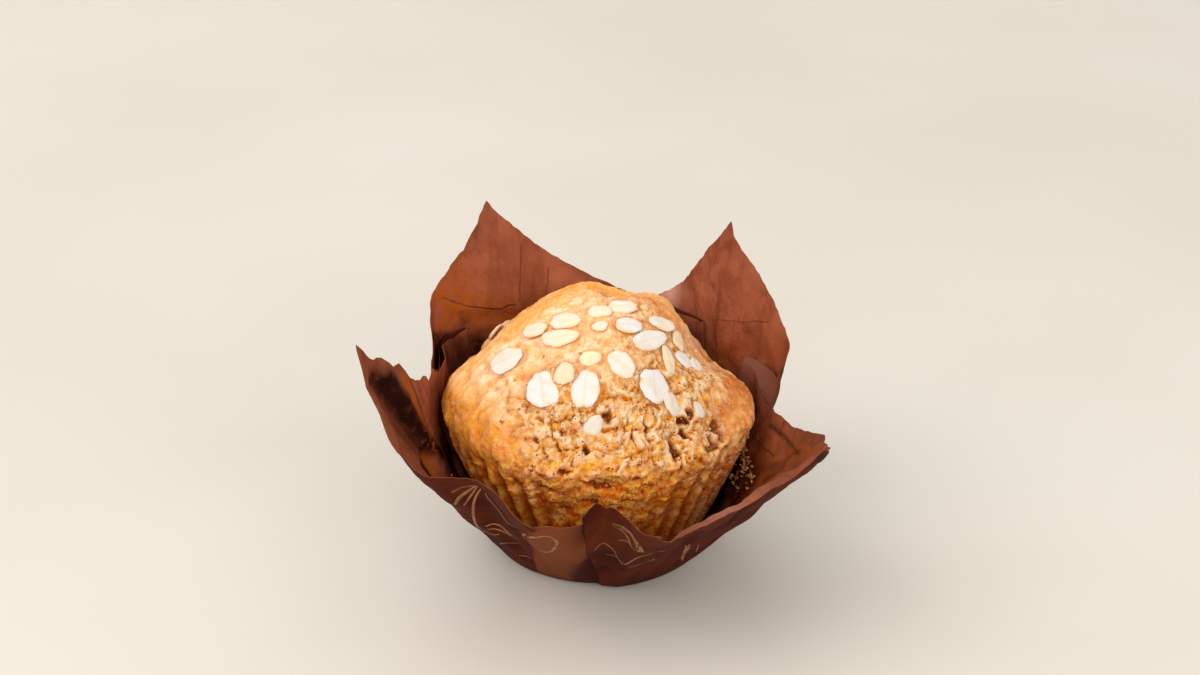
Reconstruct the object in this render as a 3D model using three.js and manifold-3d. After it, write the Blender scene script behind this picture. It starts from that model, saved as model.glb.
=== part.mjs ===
// A muffin topped with rolled oats, standing in the square sheet of baking paper it was baked in.
// Millimetres, +Z up, the paper's foot centred on the origin. Azimuth is counted from +X towards +Y.
import * as THREE from 'three';
import Module from 'manifold-3d';

// ---- the paper ----
const HALF_SHEET = 75;        // half the side of the square sheet
const PAPER = 0.45;           // thickness kept for the sheet, heavier than real paper so it can be meshed
const FOOT = 22.4;             // radius of the flat foot
const BEND = 6;               // length of the bend from foot to wall
const SPREAD_FROM = 50;       // along the sheet from its centre, where the wall starts to change its lean
const SPREAD_TO = 72;         // and where it has taken its upper lean
const LAYER = 0.95;           // spacing of the three layers in a pleat
const SEAM = 2.5;             // half width, in degrees, of a pleat where it opens out at the foot
const FOLD_RUN = 34;          // length over which a pleat closes
const ROLL = 0.42;            // radius of the turn at a fold

// Lean of the wall above the level, every 45 degrees of azimuth: lower wall, upper wall
const LEAN_LOW = [65, 66, 66.5, 66.5, 66.5, 48, 43, 46.5];
const LEAN_HIGH = [76, 92, 77, 81, 90, 50, 45, 47];

// The four corners of the sheet stand up as points: azimuth, lean of the very tip
const CORNERS = [
  { azimuth: 41, tip: 71 },
  { azimuth: 126, tip: 80 },
  { azimuth: 209, tip: 75 },
  { azimuth: 311, tip: 52 },
];

// A pleat between each two corners. Sheet degrees from the corner before to the first fold and from
// the second fold to the corner after; azimuth of both folds at the edge; which petal lies outside.
const PLEATS = [
  { before: 54, after: 21, first: 26, second: 1, outside: 'after' },
  { before: 27, after: 48, first: 69, second: 48, outside: 'before' },
  { before: 26, after: 50, first: 176, second: 143, outside: 'before' },
  { before: 40, after: 38, first: 285, second: 267, outside: 'after' },
];

// Torn or worn parts of the edge: sheet azimuth, half width in degrees, depth
const WORN = [
  [45, 7, 1.5], [207, 19, 6.5], [217, 9, 4.5], [231, 4, 2], [238.3, 5.5, 7.5], [315, 8, 3.2], [347, 27.5, 9.4],
];

// Narrow places where the wall leans differently from its neighbours: azimuth, half width, degrees
const WAVES = [[271.5, 8.5, 8.5], [247, 11, 3], [238, 10, 4], [219, 12, 2.5], [153, 16, -3.2]];

// ---- the muffin ----
// Height, then the radius towards azimuth 0, 90, 180 and 270
const STATIONS = [
  [0.85, 22, 22, 22, 22],
  [8, 26.2, 26, 26, 26.1],
  [18, 31.2, 30.8, 30.8, 30.8],
  [27, 35.4, 34.9, 34.9, 34.9],
  [34, 37.8, 37.6, 37.8, 37.9],
  [38.5, 39, 38.6, 39.2, 38.6],
  [44, 35.3, 36.5, 36.9, 33],
  [49.5, 28.8, 33.5, 32, 29.3],
  [54, 24.2, 29.5, 26.8, 24.9],
  [58, 21.2, 23.5, 20.8, 21.6],
  [61.5, 17.5, 16.5, 15.4, 17.2],
  [64, 13, 11, 11, 11],
  [65.8, 6.5, 6.5, 7, 4.8],
  [66.6, 0, 0, 0, 0],
];
const APEX = [-0.5, 5];       // the top sits off the axis
const FLUTES = 40;            // ribs left by the paper's gathers
const FLUTE_DEPTH = 0.55;

// Lumps (and, with a minus, hollows) of the crumb: x, y, z, reach, rise
const LUMPS = [
  [-3, 9, 66.5, 6, 0.7], [9.5, 6, 65.2, 5, 0.5], [4, 5, 66.2, 3.2, -1.6],
  [24, -1, 54.5, 6, -2.2], [29, -24, 40.5, 4.5, -2.2], [32, -19, 41, 3.5, -1.8],
  [20, -27.5, 43.5, 4, -1.9], [2, -38.3, 35, 2.8, -1.8], [-9, -32, 44, 8, 1.1],
  [15, -27, 46.6, 6, 1.2], [-24, -20, 46, 8, 0.9], [27, -12, 48, 6, 1.1],
  [-20, 17, 57, 8, -2.5], [0, 32, 50, 10, 1.0], [-31, 12, 50.5, 8, -3.3],
  [31, 17, 46, 8, -5.5], [-36, -12, 38, 7, 0.6], [8, -36, 40, 5, 0.8],
  [10, 15, 64, 8, -2.2], [5, 24, 59.5, 6, -1.8], [31, 7, 47.5, 8, -2.6], [16, 21, 57, 5, 1.6],
];

// Rolled oat flakes on the crust: azimuth, height, length, width, turn, all from the crust's own slope
const FLAKES = [
  [240.5, 52.3, 10.4, 8.0, 118, 6], [263.5, 52.9, 10.6, 7.2, 90, -5], [301.5, 52.4, 9.8, 7.8, 70, 7],
  [251.5, 55.3, 6.0, 5.0, 80, 5], [210, 54.6, 9.8, 6.8, 58, 8], [233.5, 63.3, 8.2, 5.2, 24, 4],
  [211, 60.3, 7.4, 5.2, 36, -6], [239, 61.1, 10.8, 4.8, 30, 6], [302, 62.7, 7.4, 5.6, -28, -5],
  [312, 60.1, 10.8, 5.2, -6, 8], [335, 61.1, 8.2, 5.0, -46, -7], [340, 57.4, 6.0, 4.8, 30, 9],
  [333, 54.2, 5.6, 4.6, 100, 5], [340, 51.9, 5.0, 4.2, 40, 5], [286, 57.2, 7.8, 5.6, -50, 9],
  [320, 55.7, 8.0, 4.2, 66, 14], [317, 64.9, 8.0, 4.6, -18, 5], [276, 64.7, 6.4, 4.0, 0, 6],
  [274, 63.2, 4.4, 3.4, 40, -8], [266, 58.4, 5.8, 4.0, 20, 7], [307.5, 48.9, 6.6, 4.8, 75, 12],
  [268, 46.8, 5.6, 4.2, 60, 12], [320, 46.2, 4.8, 3.2, 70, 10], [148, 50.0, 6.4, 4.8, 50, 8],
  [95, 48.5, 8.6, 6.4, 15, 6], [60, 46.5, 9.2, 6.8, 40, 8], [135, 46.0, 8.0, 6.2, 110, 7],
];
const FLAKE_THICK = 1.3;

const rad = THREE.MathUtils.degToRad;
const wrapTurn = (a) => ((a % 360) + 360) % 360;
const away = (a, b) => Math.abs(wrapTurn(a - b + 180) - 180);

function smooth(x) {
  const c = Math.min(Math.max(x, 0), 1);
  return c * c * (3 - 2 * c);
}

function around(values, azimuth) {
  const step = 360 / values.length;
  const at = wrapTurn(azimuth) / step;
  const k = Math.floor(at) % values.length;
  return THREE.MathUtils.lerp(values[k], values[(k + 1) % values.length], smooth(at - Math.floor(at)));
}

// Radius and height of the wall s mm along the sheet from its centre
function meridian(s, azimuth, tipLean, tipShare) {
  const wave = WAVES.reduce((sum, [at, half, by]) => sum + by * smooth(1 - away(azimuth, at) / half), 0);
  const low = around(LEAN_LOW, azimuth) + wave;
  const high = around(LEAN_HIGH, azimuth) + wave;
  const tip = THREE.MathUtils.lerp(high, tipLean + wave, tipShare);
  let r = Math.min(s, FOOT);
  let z = 0;
  const wall = Math.max(s - FOOT, 0);
  const steps = 48;
  for (let i = 0; i < steps; i += 1) {
    const at = FOOT + (wall * (i + 0.5)) / steps;
    let lean = low * smooth((at - FOOT) / BEND);
    lean += (high - low) * smooth((at - SPREAD_FROM) / (SPREAD_TO - SPREAD_FROM));
    lean += (tip - high) * smooth((at - 80) / 22);
    r += (Math.cos(rad(lean)) * wall) / steps;
    z += (Math.sin(rad(lean)) * wall) / steps;
  }
  return [r, z];
}

function sheetEdge(phi) {
  const fromMiddle = 45 - Math.abs((wrapTurn(phi) % 90) - 45);
  let edge = HALF_SHEET / Math.cos(rad(fromMiddle));
  for (const [at, half, depth] of WORN) edge -= depth * smooth(1.6 * (1 - away(phi, at) / half));
  return edge;
}

// One strip of the sheet from foot to edge, at t of its length. A strip is known by its sheet
// azimuth, its azimuth at foot and edge, its layer (0 innermost, 2 outermost) and its share of a tip.
function wallPoint(strip, t) {
  const s = FOOT + (sheetEdge(strip.sheet) - FOOT) * t;
  const folded = smooth((s - FOOT - 3) / FOLD_RUN);
  const azimuth = THREE.MathUtils.lerp(strip.foot, strip.edge, folded);
  const [r, z] = meridian(s, azimuth, strip.tipLean, strip.tipShare);
  const low = rad(around(LEAN_LOW, azimuth));
  const opening = smooth((s - FOOT) / 8);
  const closed = smooth((s - FOOT - 8) / 10);
  const out = LAYER * opening * THREE.MathUtils.lerp(strip.flatLayer, strip.layer, closed);
  const turn = rad(azimuth) + (strip.roll * closed) / Math.max(r, 1);
  const radius = r + out * Math.sin(low);
  return new THREE.Vector3(radius * Math.cos(turn), radius * Math.sin(turn), z - out * Math.cos(low) * opening);
}

// All strips once round the sheet: petal, pleat, petal, pleat ...
function wallStrips(perPetal) {
  const strips = [];
  for (let c = 0; c < 4; c += 1) {
    const { azimuth, tip } = CORNERS[c];
    const before = PLEATS[c];
    const next = PLEATS[(c + 1) % 4];
    const corner = 45 + 90 * c;
    const lastTurn = c === 3 ? 360 : 0;
    const arrive = before.outside === 'before' ? 0 : 2;
    const leave = next.outside === 'before' ? 2 : 0;
    for (let i = 0; i <= perPetal; i += 1) {
      const f = (2 * i) / perPetal - 1;
      const side = Math.abs(f);
      const turn = f < 0 ? before.after : next.before;
      const fold = f < 0 ? before.second : next.first + lastTurn;
      const layer = THREE.MathUtils.lerp(arrive, leave, smooth((f + 1) / 2));
      strips.push({
        sheet: corner + f * turn,
        foot: corner + f * (45 - SEAM),
        edge: THREE.MathUtils.lerp(azimuth, fold, side),
        layer,
        flatLayer: layer,
        roll: 0,
        tipLean: tip,
        tipShare: smooth(1 - (side * turn) / 14),
      });
    }
    strips.push(...pleatStrips(next, corner, lastTurn, leave));
  }
  return strips;
}

function pleatStrips(pleat, corner, lastTurn, leave) {
  const valley = corner + 45;
  const step = leave === 2 ? -1 : 1;
  const sheetFrom = corner + pleat.before;
  const sheetTo = corner + 90 - pleat.after;
  // share of the way across the pleat, layers passed, sideways roll
  const turn = (share, from, sign, angle) => ({
    share,
    layer: from + (step * (1 - Math.cos(rad(angle)))) / 2,
    roll: sign * ROLL * Math.sin(rad(angle)),
  });
  const columns = [
    turn(0.02, leave, 1, 45), turn(0.04, leave, 1, 90), turn(0.06, leave, 1, 135),
    turn(0.09, leave, 1, 180), turn(0.5, leave, 1, 180), turn(0.91, leave + step, -1, 0),
    turn(0.94, leave + step, -1, 45), turn(0.96, leave + step, -1, 90), turn(0.98, leave + step, -1, 135),
  ];
  return columns.map(({ share, layer, roll }) => {
    const flat = (share < 0.5 ? share * 3.2 : 1 - (1 - share) * 3.2);
    const across = share === 0.5 ? 0.5 : THREE.MathUtils.clamp(flat, 0, 1);
    const foldShare = share < 0.1 ? 0 : share > 0.9 ? 1 : 0.5;
    return {
      sheet: THREE.MathUtils.lerp(sheetFrom, sheetTo, across),
      foot: valley - SEAM + 2 * SEAM * across,
      edge: THREE.MathUtils.lerp(pleat.first, pleat.second, foldShare) + (pleat.first < 90 && lastTurn ? 360 : 0),
      layer,
      flatLayer: THREE.MathUtils.lerp(leave, 2 - leave, smooth(across)),
      roll,
      tipLean: 70,
      tipShare: 0,
    };
  });
}

// A closed solid of even thickness over a grid of points: rows run outwards, columns close in a ring,
// and the first rows lie flat
function sheetSolid(rows, flatRows, thickness) {
  const count = rows[0].length;
  const inner = [];
  const outer = [];
  rows.forEach((row, i) => {
    row.forEach((point, j) => {
      const across = new THREE.Vector3().subVectors(row[(j + 1) % count], row[(j + count - 1) % count]);
      const below = rows[Math.max(i - 1, 0)][j];
      const above = rows[Math.min(i + 1, rows.length - 1)][j];
      const along = new THREE.Vector3().subVectors(above, below);
      const normal = i < flatRows ? new THREE.Vector3(0, 0, -1) : across.cross(along).normalize();
      outer.push(point.clone().addScaledVector(normal, thickness / 2));
      inner.push(point.clone().addScaledVector(normal, -thickness / 2));
    });
  });
  const middle = new THREE.Vector3(0, 0, rows[0][0].z);
  const points = [...outer, ...inner];
  points.push(middle.clone().setZ(middle.z - thickness / 2), middle.clone().setZ(middle.z + thickness / 2));
  const below = points.length - 2;
  const above = points.length - 1;
  const far = outer.length;
  const faces = [];
  const quad = (a, b, c, d) => faces.push(a, b, c, a, c, d);
  for (let j = 0; j < count; j += 1) {
    const k = (j + 1) % count;
    for (let i = 0; i < rows.length - 1; i += 1) {
      const [a, b, c, d] = [i * count + j, i * count + k, (i + 1) * count + k, (i + 1) * count + j];
      quad(a, b, c, d);
      quad(far + d, far + c, far + b, far + a);
    }
    const rim = (rows.length - 1) * count;
    quad(rim + j, rim + k, far + rim + k, far + rim + j);
    faces.push(below, k, j, above, far + j, far + k);
  }
  return bodyFrom(points, faces);
}

function bodyFrom(points, faces) {
  const geometry = new THREE.BufferGeometry();
  const flat = new Float32Array(points.length * 3);
  points.forEach((p, i) => p.toArray(flat, i * 3));
  geometry.setAttribute('position', new THREE.BufferAttribute(flat, 3));
  geometry.setIndex(faces);
  geometry.computeVertexNormals();
  return geometry;
}

function paperWrap() {
  const strips = wallStrips(16);
  const lift = PAPER / 2;
  const foot = [12].map((r) => strips.map((strip) => {
    const a = rad(strip.foot);
    return new THREE.Vector3(r * Math.cos(a), r * Math.sin(a), lift);
  }));
  const shares = [0, 0.035, 0.07, 0.11, 0.17, 0.24, 0.33, 0.42, 0.51, 0.61, 0.71, 0.81, 0.91, 1];
  const wall = shares.map((t) => strips.map((strip) => {
    const point = wallPoint(strip, t);
    point.z += lift;
    return point;
  }));
  return sheetSolid([...foot, ...wall], foot.length + 1, PAPER);
}

// Smooth noise on a lattice of whole numbers, -1 to 1
function lattice(x, y, z) {
  const h = Math.sin(x * 127.1 + y * 311.7 + z * 74.7) * 43758.5453;
  return 2 * (h - Math.floor(h)) - 1;
}

function noise(p, size) {
  const [x, y, z] = [p.x / size, p.y / size, p.z / size];
  const [i, j, k] = [Math.floor(x), Math.floor(y), Math.floor(z)];
  let sum = 0;
  for (let c = 0; c < 8; c += 1) {
    const [a, b, d] = [c & 1, (c >> 1) & 1, c >> 2];
    const weight = smooth(a ? x - i : 1 - x + i) * smooth(b ? y - j : 1 - y + j) * smooth(d ? z - k : 1 - z + k);
    sum += weight * lattice(i + a, j + b, k + d);
  }
  return sum;
}

function station(u) {
  const last = STATIONS.length - 1;
  const at = Math.min(Math.max(u, 0), 1) * last;
  const i = Math.min(Math.floor(at), last - 1);
  const t = at - i;
  const row = (k) => STATIONS[Math.min(Math.max(k, 0), last)];
  const [a, b, c, d] = [row(i - 1), row(i), row(i + 1), row(i + 2)];
  return b.map((_, n) => 0.5 * (2 * b[n] + (c[n] - a[n]) * t + (2 * a[n] - 5 * b[n] + 4 * c[n] - d[n]) * t * t
    + (3 * b[n] - a[n] - 3 * c[n] + d[n]) * t * t * t));
}

function crustPoint(azimuth, u) {
  const [z, ...radii] = station(u);
  const r = around(radii, azimuth);
  const shift = smooth((z - 40) / 26);
  const a = rad(azimuth);
  return new THREE.Vector3(r * Math.cos(a) + APEX[0] * shift, r * Math.sin(a) + APEX[1] * shift, z);
}

// How rough the crumb is: the torn front and right of the crown, less so at the back and left
function crumbliness(p) {
  const front = smooth((10 - p.y) / 30);
  return 0.45 + 0.55 * front * smooth((p.z - 28) / 10);
}

function relief(p, azimuth) {
  let rise = 0;
  for (const [x, y, z, reach, by] of LUMPS) {
    const d2 = (p.x - x) ** 2 + (p.y - y) ** 2 + (p.z - z) ** 2;
    rise += by * Math.exp(-d2 / (reach * reach));
  }
  rise += crumbliness(p) * (0.9 * noise(p, 9) + 0.5 * noise(p, 4.7)) * smooth((p.z - 6) / 20);
  const ribbed = smooth((p.z - 3) / 6) * (1 - smooth((p.z - 30) / 7));
  const faint = 1 - 0.45 * smooth(1 - away(azimuth, 275) / 50);
  return rise + FLUTE_DEPTH * ribbed * faint * Math.cos(rad(FLUTES * azimuth));
}

function crustWithRelief(azimuth, u) {
  const p = crustPoint(azimuth, u);
  const outward = new THREE.Vector3(p.x, p.y, 0.9 * (p.z - 34)).normalize();
  if (u < 0.42) outward.setZ(0).normalize();
  return p.clone().addScaledVector(outward, relief(p, azimuth));
}

function cakeBody() {
  const columns = 3 * FLUTES;
  const shares = [0, 0.06, 0.13, 0.21, 0.29, 0.35, 0.4, 0.46, 0.52, 0.58, 0.64, 0.7, 0.77, 0.84, 0.91, 0.96];
  const points = [];
  shares.forEach((u) => {
    for (let j = 0; j < columns; j += 1) points.push(crustWithRelief((360 * j) / columns, u));
  });
  points.push(new THREE.Vector3(0, 0, STATIONS[0][0]), crustWithRelief(0, 1));
  const bottom = points.length - 2;
  const top = points.length - 1;
  const faces = [];
  for (let j = 0; j < columns; j += 1) {
    const k = (j + 1) % columns;
    for (let i = 0; i < shares.length - 1; i += 1) {
      const [a, b, c, d] = [i * columns + j, i * columns + k, (i + 1) * columns + k, (i + 1) * columns + j];
      faces.push(a, b, c, a, c, d);
    }
    const rim = (shares.length - 1) * columns;
    faces.push(bottom, k, j, top, rim + j, rim + k);
  }
  return bodyFrom(points, faces);
}

function stationOf(height) {
  let [low, high] = [0, 1];
  for (let n = 0; n < 30; n += 1) {
    const middle = (low + high) / 2;
    if (station(middle)[0] < height) low = middle;
    else high = middle;
  }
  return low;
}

// An oat flake: a thin oval with a thick middle, pressed into the crust
function flakeBody([azimuth, height, length, width, turn, tilt]) {
  const u = stationOf(height);
  const at = crustWithRelief(azimuth, u);
  const along = new THREE.Vector3().subVectors(crustPoint(azimuth, u + 0.01), crustPoint(azimuth, u - 0.01));
  const across = new THREE.Vector3().subVectors(crustPoint(azimuth + 1, u), crustPoint(azimuth - 1, u)).normalize();
  const normal = new THREE.Vector3().crossVectors(across, along).normalize();
  const up = new THREE.Vector3().crossVectors(normal, across);
  const frame = new THREE.Matrix4().makeBasis(across, up, normal);
  frame.multiply(new THREE.Matrix4().makeRotationZ(rad(turn)));
  frame.multiply(new THREE.Matrix4().makeRotationX(rad(tilt)));
  frame.setPosition(at);
  const sides = 12;
  const rings = [[-0.7, 0.8], [0.1, 1], [0.42, 0.72]];
  const points = [];
  rings.forEach(([z, share]) => {
    for (let i = 0; i < sides; i += 1) {
      const a = (2 * Math.PI * (i + 0.5)) / sides;
      const x = (length / 2) * share * Math.cos(a);
      const y = (width / 2) * share * Math.sin(a) * (1 - 0.14 * Math.cos(a));
      points.push(new THREE.Vector3(x, y, z * FLAKE_THICK));
    }
  });
  points.push(new THREE.Vector3(0, 0, -0.7 * FLAKE_THICK), new THREE.Vector3(0, 0, 0.5 * FLAKE_THICK));
  points.forEach((p) => p.applyMatrix4(frame));
  const faces = [];
  const [bottom, top] = [points.length - 2, points.length - 1];
  for (let i = 0; i < sides; i += 1) {
    const k = (i + 1) % sides;
    for (let n = 0; n < rings.length - 1; n += 1) {
      const [a, b, c, d] = [n * sides + i, n * sides + k, (n + 1) * sides + k, (n + 1) * sides + i];
      faces.push(a, b, c, a, c, d);
    }
    const rim = (rings.length - 1) * sides;
    faces.push(bottom, k, i, top, rim + i, rim + k);
  }
  return bodyFrom(points, faces);
}

const wasm = await Module();
wasm.setup();

function manifoldOf(geometry) {
  const vertProperties = new Float32Array(geometry.attributes.position.array);
  const triVerts = new Uint32Array(geometry.index.array);
  return new wasm.Manifold(new wasm.Mesh({ numProp: 3, vertProperties, triVerts }));
}

function joined(geometries) {
  let whole = manifoldOf(geometries[0]);
  for (const geometry of geometries.slice(1)) whole = whole.add(manifoldOf(geometry));
  const mesh = whole.getMesh();
  const geometry = new THREE.BufferGeometry();
  geometry.setAttribute('position', new THREE.BufferAttribute(new Float32Array(mesh.vertProperties), 3));
  geometry.setIndex(Array.from(mesh.triVerts));
  geometry.computeVertexNormals();
  return geometry;
}

function part(name, geometry, colour, roughness) {
  const material = new THREE.MeshStandardMaterial({ color: colour, roughness });
  const mesh = new THREE.Mesh(geometry, material);
  mesh.name = name;
  return mesh;
}

const group = new THREE.Group();
group.name = 'oat_muffin_in_wrap';
group.add(part('muffin', joined([cakeBody(), ...FLAKES.map(flakeBody)]), '#d59a55', 0.85));
group.add(part('wrap', paperWrap(), '#6e3a22', 0.6));
export default group;
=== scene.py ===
import math

import bmesh
import bpy
import numpy as np
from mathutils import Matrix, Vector


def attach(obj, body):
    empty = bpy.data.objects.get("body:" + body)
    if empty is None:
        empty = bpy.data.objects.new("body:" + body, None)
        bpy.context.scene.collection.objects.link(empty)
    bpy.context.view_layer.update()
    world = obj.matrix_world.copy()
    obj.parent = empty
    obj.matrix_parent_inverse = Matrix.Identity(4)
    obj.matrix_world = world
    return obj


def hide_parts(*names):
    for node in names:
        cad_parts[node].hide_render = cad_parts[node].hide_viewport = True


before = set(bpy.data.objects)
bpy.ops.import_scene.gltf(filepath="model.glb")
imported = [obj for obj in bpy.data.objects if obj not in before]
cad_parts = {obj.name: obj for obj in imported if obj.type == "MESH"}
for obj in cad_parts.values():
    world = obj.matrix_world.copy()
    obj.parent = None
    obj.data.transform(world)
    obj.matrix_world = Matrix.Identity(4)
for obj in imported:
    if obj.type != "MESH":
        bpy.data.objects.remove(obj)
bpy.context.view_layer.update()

# An oat muffin in its square of brown baking paper. Measures are millimetres and degrees until a
# mesh is made; azimuth is counted from +X towards +Y, as in the part's source.

# ---- the paper, with the source's own measures ----
HALF_SHEET = 75
FOOT = 22.4                   # radius of the flat foot
BEND = 6                      # length of the bend from foot to wall
SPREAD_FROM = 50              # along the sheet from its middle, where the wall starts to change its lean
SPREAD_TO = 72                # and where it has taken its upper lean
LAYER = 0.95                  # spacing of the layers in a pleat
SEAM = 2.5                    # half width, in degrees, of a pleat where it opens out at the foot
FOLD_RUN = 34                 # length over which a pleat closes
ROLL = 0.42                   # radius of the turn at a fold
TIP_FROM = 80                 # along the sheet from its middle, where the points take their own lean
TIP_RUN = 22

# Lean of the wall above the level, every 45 degrees of azimuth: lower wall, upper wall
LEAN_LOW = [65, 66, 66.5, 66.5, 66.5, 48, 43, 46.5]
LEAN_HIGH = [76, 92, 77, 81, 90, 50, 45, 47]

# The four corners of the sheet: azimuth, lean of the very tip
CORNERS = [(41, 71), (126, 80), (209, 75), (311, 52)]

# A pleat between each two corners: sheet degrees from the corner before to the first fold and from the
# second fold to the corner after, azimuth of both folds at the edge, which petal lies outside
PLEATS = [(54, 21, 26, 1, "after"), (27, 48, 69, 48, "before"),
          (26, 50, 176, 143, "before"), (40, 38, 285, 267, "after")]

# Worn parts of the edge: sheet azimuth, half width in degrees, depth
WORN = [[45, 7, 1.5], [207, 19, 6.5], [217, 9, 4.5], [231, 4, 2], [238.3, 5.5, 7.5], [315, 8, 3.2],
        [347, 27.5, 9.4]]

# Narrow places where the wall leans differently: azimuth, half width, degrees
WAVES = [[271.5, 8.5, 8.5], [247, 11, 3], [238, 10, 4], [219, 12, 2.5], [153, 16, -3.2]]

# ---- the paper, as it is made here ----
SHEET_THICK = 0.16            # thicker than the 0.06 of baking paper, so its two faces stay apart
FOOT_RINGS = [4, 10, 16, 20]  # radii of the rows under the muffin
ROW_CURVE = 1.06              # the rows of the wall lie a little closer together near the foot
WALL_STEPS = 72               # short straight lengths that the lean of the wall is added up over

# ---- the muffin, with the source's own measures ----
# Height, then the radius towards azimuth 0, 90, 180 and 270
STATIONS = np.array([
    [0.85, 22, 22, 22, 22], [8, 26.2, 26, 26, 26.1], [18, 31.2, 30.8, 30.8, 30.8],
    [27, 35.4, 34.9, 34.9, 34.9], [34, 37.8, 37.6, 37.8, 37.9], [38.5, 39, 38.6, 39.2, 38.6],
    [44, 35.3, 36.5, 36.9, 33], [49.5, 28.8, 33.5, 32, 29.3], [54, 24.2, 29.5, 26.8, 24.9],
    [58, 21.2, 23.5, 20.8, 21.6], [61.5, 17.5, 16.5, 15.4, 17.2], [64, 13, 11, 11, 11],
    [65.8, 6.5, 6.5, 7, 4.8], [66.6, 0, 0, 0, 0]])
APEX = [-0.5, 5]              # the top sits off the axis
FLUTES = 40                   # ribs left by the paper's gathers
FLUTE_DEPTH = 0.55

# Lumps and, with a minus, hollows: x, y, z, reach, rise
LUMPS = [
    [-3, 9, 66.5, 6, 0.7], [9.5, 6, 65.2, 5, 0.5], [4, 5, 66.2, 3.2, -1.6],
    [24, -1, 54.5, 6, -2.2], [29, -24, 40.5, 4.5, -2.2], [32, -19, 41, 3.5, -1.8],
    [20, -27.5, 43.5, 4, -1.9], [2, -38.3, 35, 2.8, -1.8], [-9, -32, 44, 8, 1.1],
    [15, -27, 46.6, 6, 1.2], [-24, -20, 46, 8, 0.9], [27, -12, 48, 6, 1.1],
    [-20, 17, 57, 8, -2.5], [0, 32, 50, 10, 1.0], [-31, 12, 50.5, 8, -3.3],
    [31, 17, 46, 8, -5.5], [-36, -12, 38, 7, 0.6], [8, -36, 40, 5, 0.8],
    [10, 15, 64, 8, -2.2], [5, 24, 59.5, 6, -1.8], [31, 7, 47.5, 8, -2.6], [16, 21, 57, 5, 1.6]]

# Rolled oat flakes: azimuth, height, length, width, turn, tilt
FLAKES = [
    [240.5, 52.3, 10.4, 8.0, 118, 6], [263.5, 52.9, 10.6, 7.2, 90, -5], [301.5, 52.4, 9.8, 7.8, 70, 7],
    [251.5, 55.3, 6.0, 5.0, 80, 5], [210, 54.6, 9.8, 6.8, 58, 8], [233.5, 63.3, 8.2, 5.2, 24, 4],
    [211, 60.3, 7.4, 5.2, 36, -6], [239, 61.1, 10.8, 4.8, 30, 6], [302, 62.7, 7.4, 5.6, -28, -5],
    [312, 60.1, 10.8, 5.2, -6, 8], [335, 61.1, 8.2, 5.0, -46, -7], [340, 57.4, 6.0, 4.8, 30, 9],
    [333, 54.2, 5.6, 4.6, 100, 5], [340, 51.9, 5.0, 4.2, 40, 5], [286, 57.2, 7.8, 5.6, -50, 9],
    [320, 55.7, 8.0, 4.2, 66, 14], [317, 64.9, 8.0, 4.6, -18, 5], [276, 64.7, 6.4, 4.0, 0, 6],
    [274, 63.2, 4.4, 3.4, 40, -8], [266, 58.4, 5.8, 4.0, 20, 7], [307.5, 48.9, 6.6, 4.8, 75, 12],
    [268, 46.8, 5.6, 4.2, 60, 12], [320, 46.2, 4.8, 3.2, 70, 10], [148, 50.0, 6.4, 4.8, 50, 8],
    [95, 48.5, 8.6, 6.4, 15, 6], [60, 46.5, 9.2, 6.8, 40, 8], [135, 46.0, 8.0, 6.2, 110, 7]]

# Flakes by number: half buried in the crumb, and how far baked over
SUNK_FLAKES = [20, 21, 22]
VEILS = {5: 0.5, 6: 0.5, 7: 0.4, 10: 0.25, 11: 0.3, 14: 0.15, 15: 0.5, 16: 0.6, 17: 0.6, 18: 0.7, 19: 0.8}
TONES = [0.1, 0.2, 0.1, 0.9, 0.3, 0.3, 0.3, 0.5]   # how warm each flake is, over and over


# ---- sums that the shapes share ----
def smooth(x):
    c = np.clip(x, 0, 1)
    return c * c * (3 - 2 * c)


def mix(a, b, share):
    return a + (b - a) * share


def away(a, b):
    return np.abs((np.asarray(a) - b + 180) % 360 - 180)


def near(azimuth, at, half, firm=1):
    """1 at an azimuth, soft to 0 at half its width away; a firmer one is wider at the top."""
    return smooth(firm * (1 - away(azimuth, at) / half))


def through(a, b, c, d, t):
    """A point between b and c on the smooth curve through four points."""
    return 0.5 * (2 * b + (c - a) * t + (2 * a - 5 * b + 4 * c - d) * t ** 2
                  + (3 * b - a - 3 * c + d) * t ** 3)


def flat_place(azimuth, reach):
    """A place of the flat sheet in x and y, from its azimuth and distance from the middle."""
    return reach * math.cos(math.radians(azimuth)), reach * math.sin(math.radians(azimuth))


def around(values, azimuth):
    values = np.asarray(values, float)
    at = (np.asarray(azimuth, float) % 360) / (360 / len(values))
    k = np.floor(at).astype(int) % len(values)
    return mix(values[k], values[(k + 1) % len(values)], smooth(at - np.floor(at)))


def lattice(x, y, z):
    h = np.sin(x * 127.1 + y * 311.7 + z * 74.7) * 43758.5453
    return 2 * (h - np.floor(h)) - 1


def noise(p, size, seed=0):
    """Smooth noise, -1 to 1, on points (..., 3)."""
    q = p / size + seed
    base = np.floor(q)
    part = smooth(q - base)
    total = 0
    for c in range(8):
        step = np.array([c & 1, (c >> 1) & 1, c >> 2])
        weight = np.prod(np.where(step, part, 1 - part), axis=-1)
        cell = base + step
        total = total + weight * lattice(cell[..., 0], cell[..., 1], cell[..., 2])
    return total


def noise3(p, size, seed=0):
    return np.stack([noise(p, size, seed + 7.3 * k + 3.1) for k in range(3)], -1)


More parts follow.
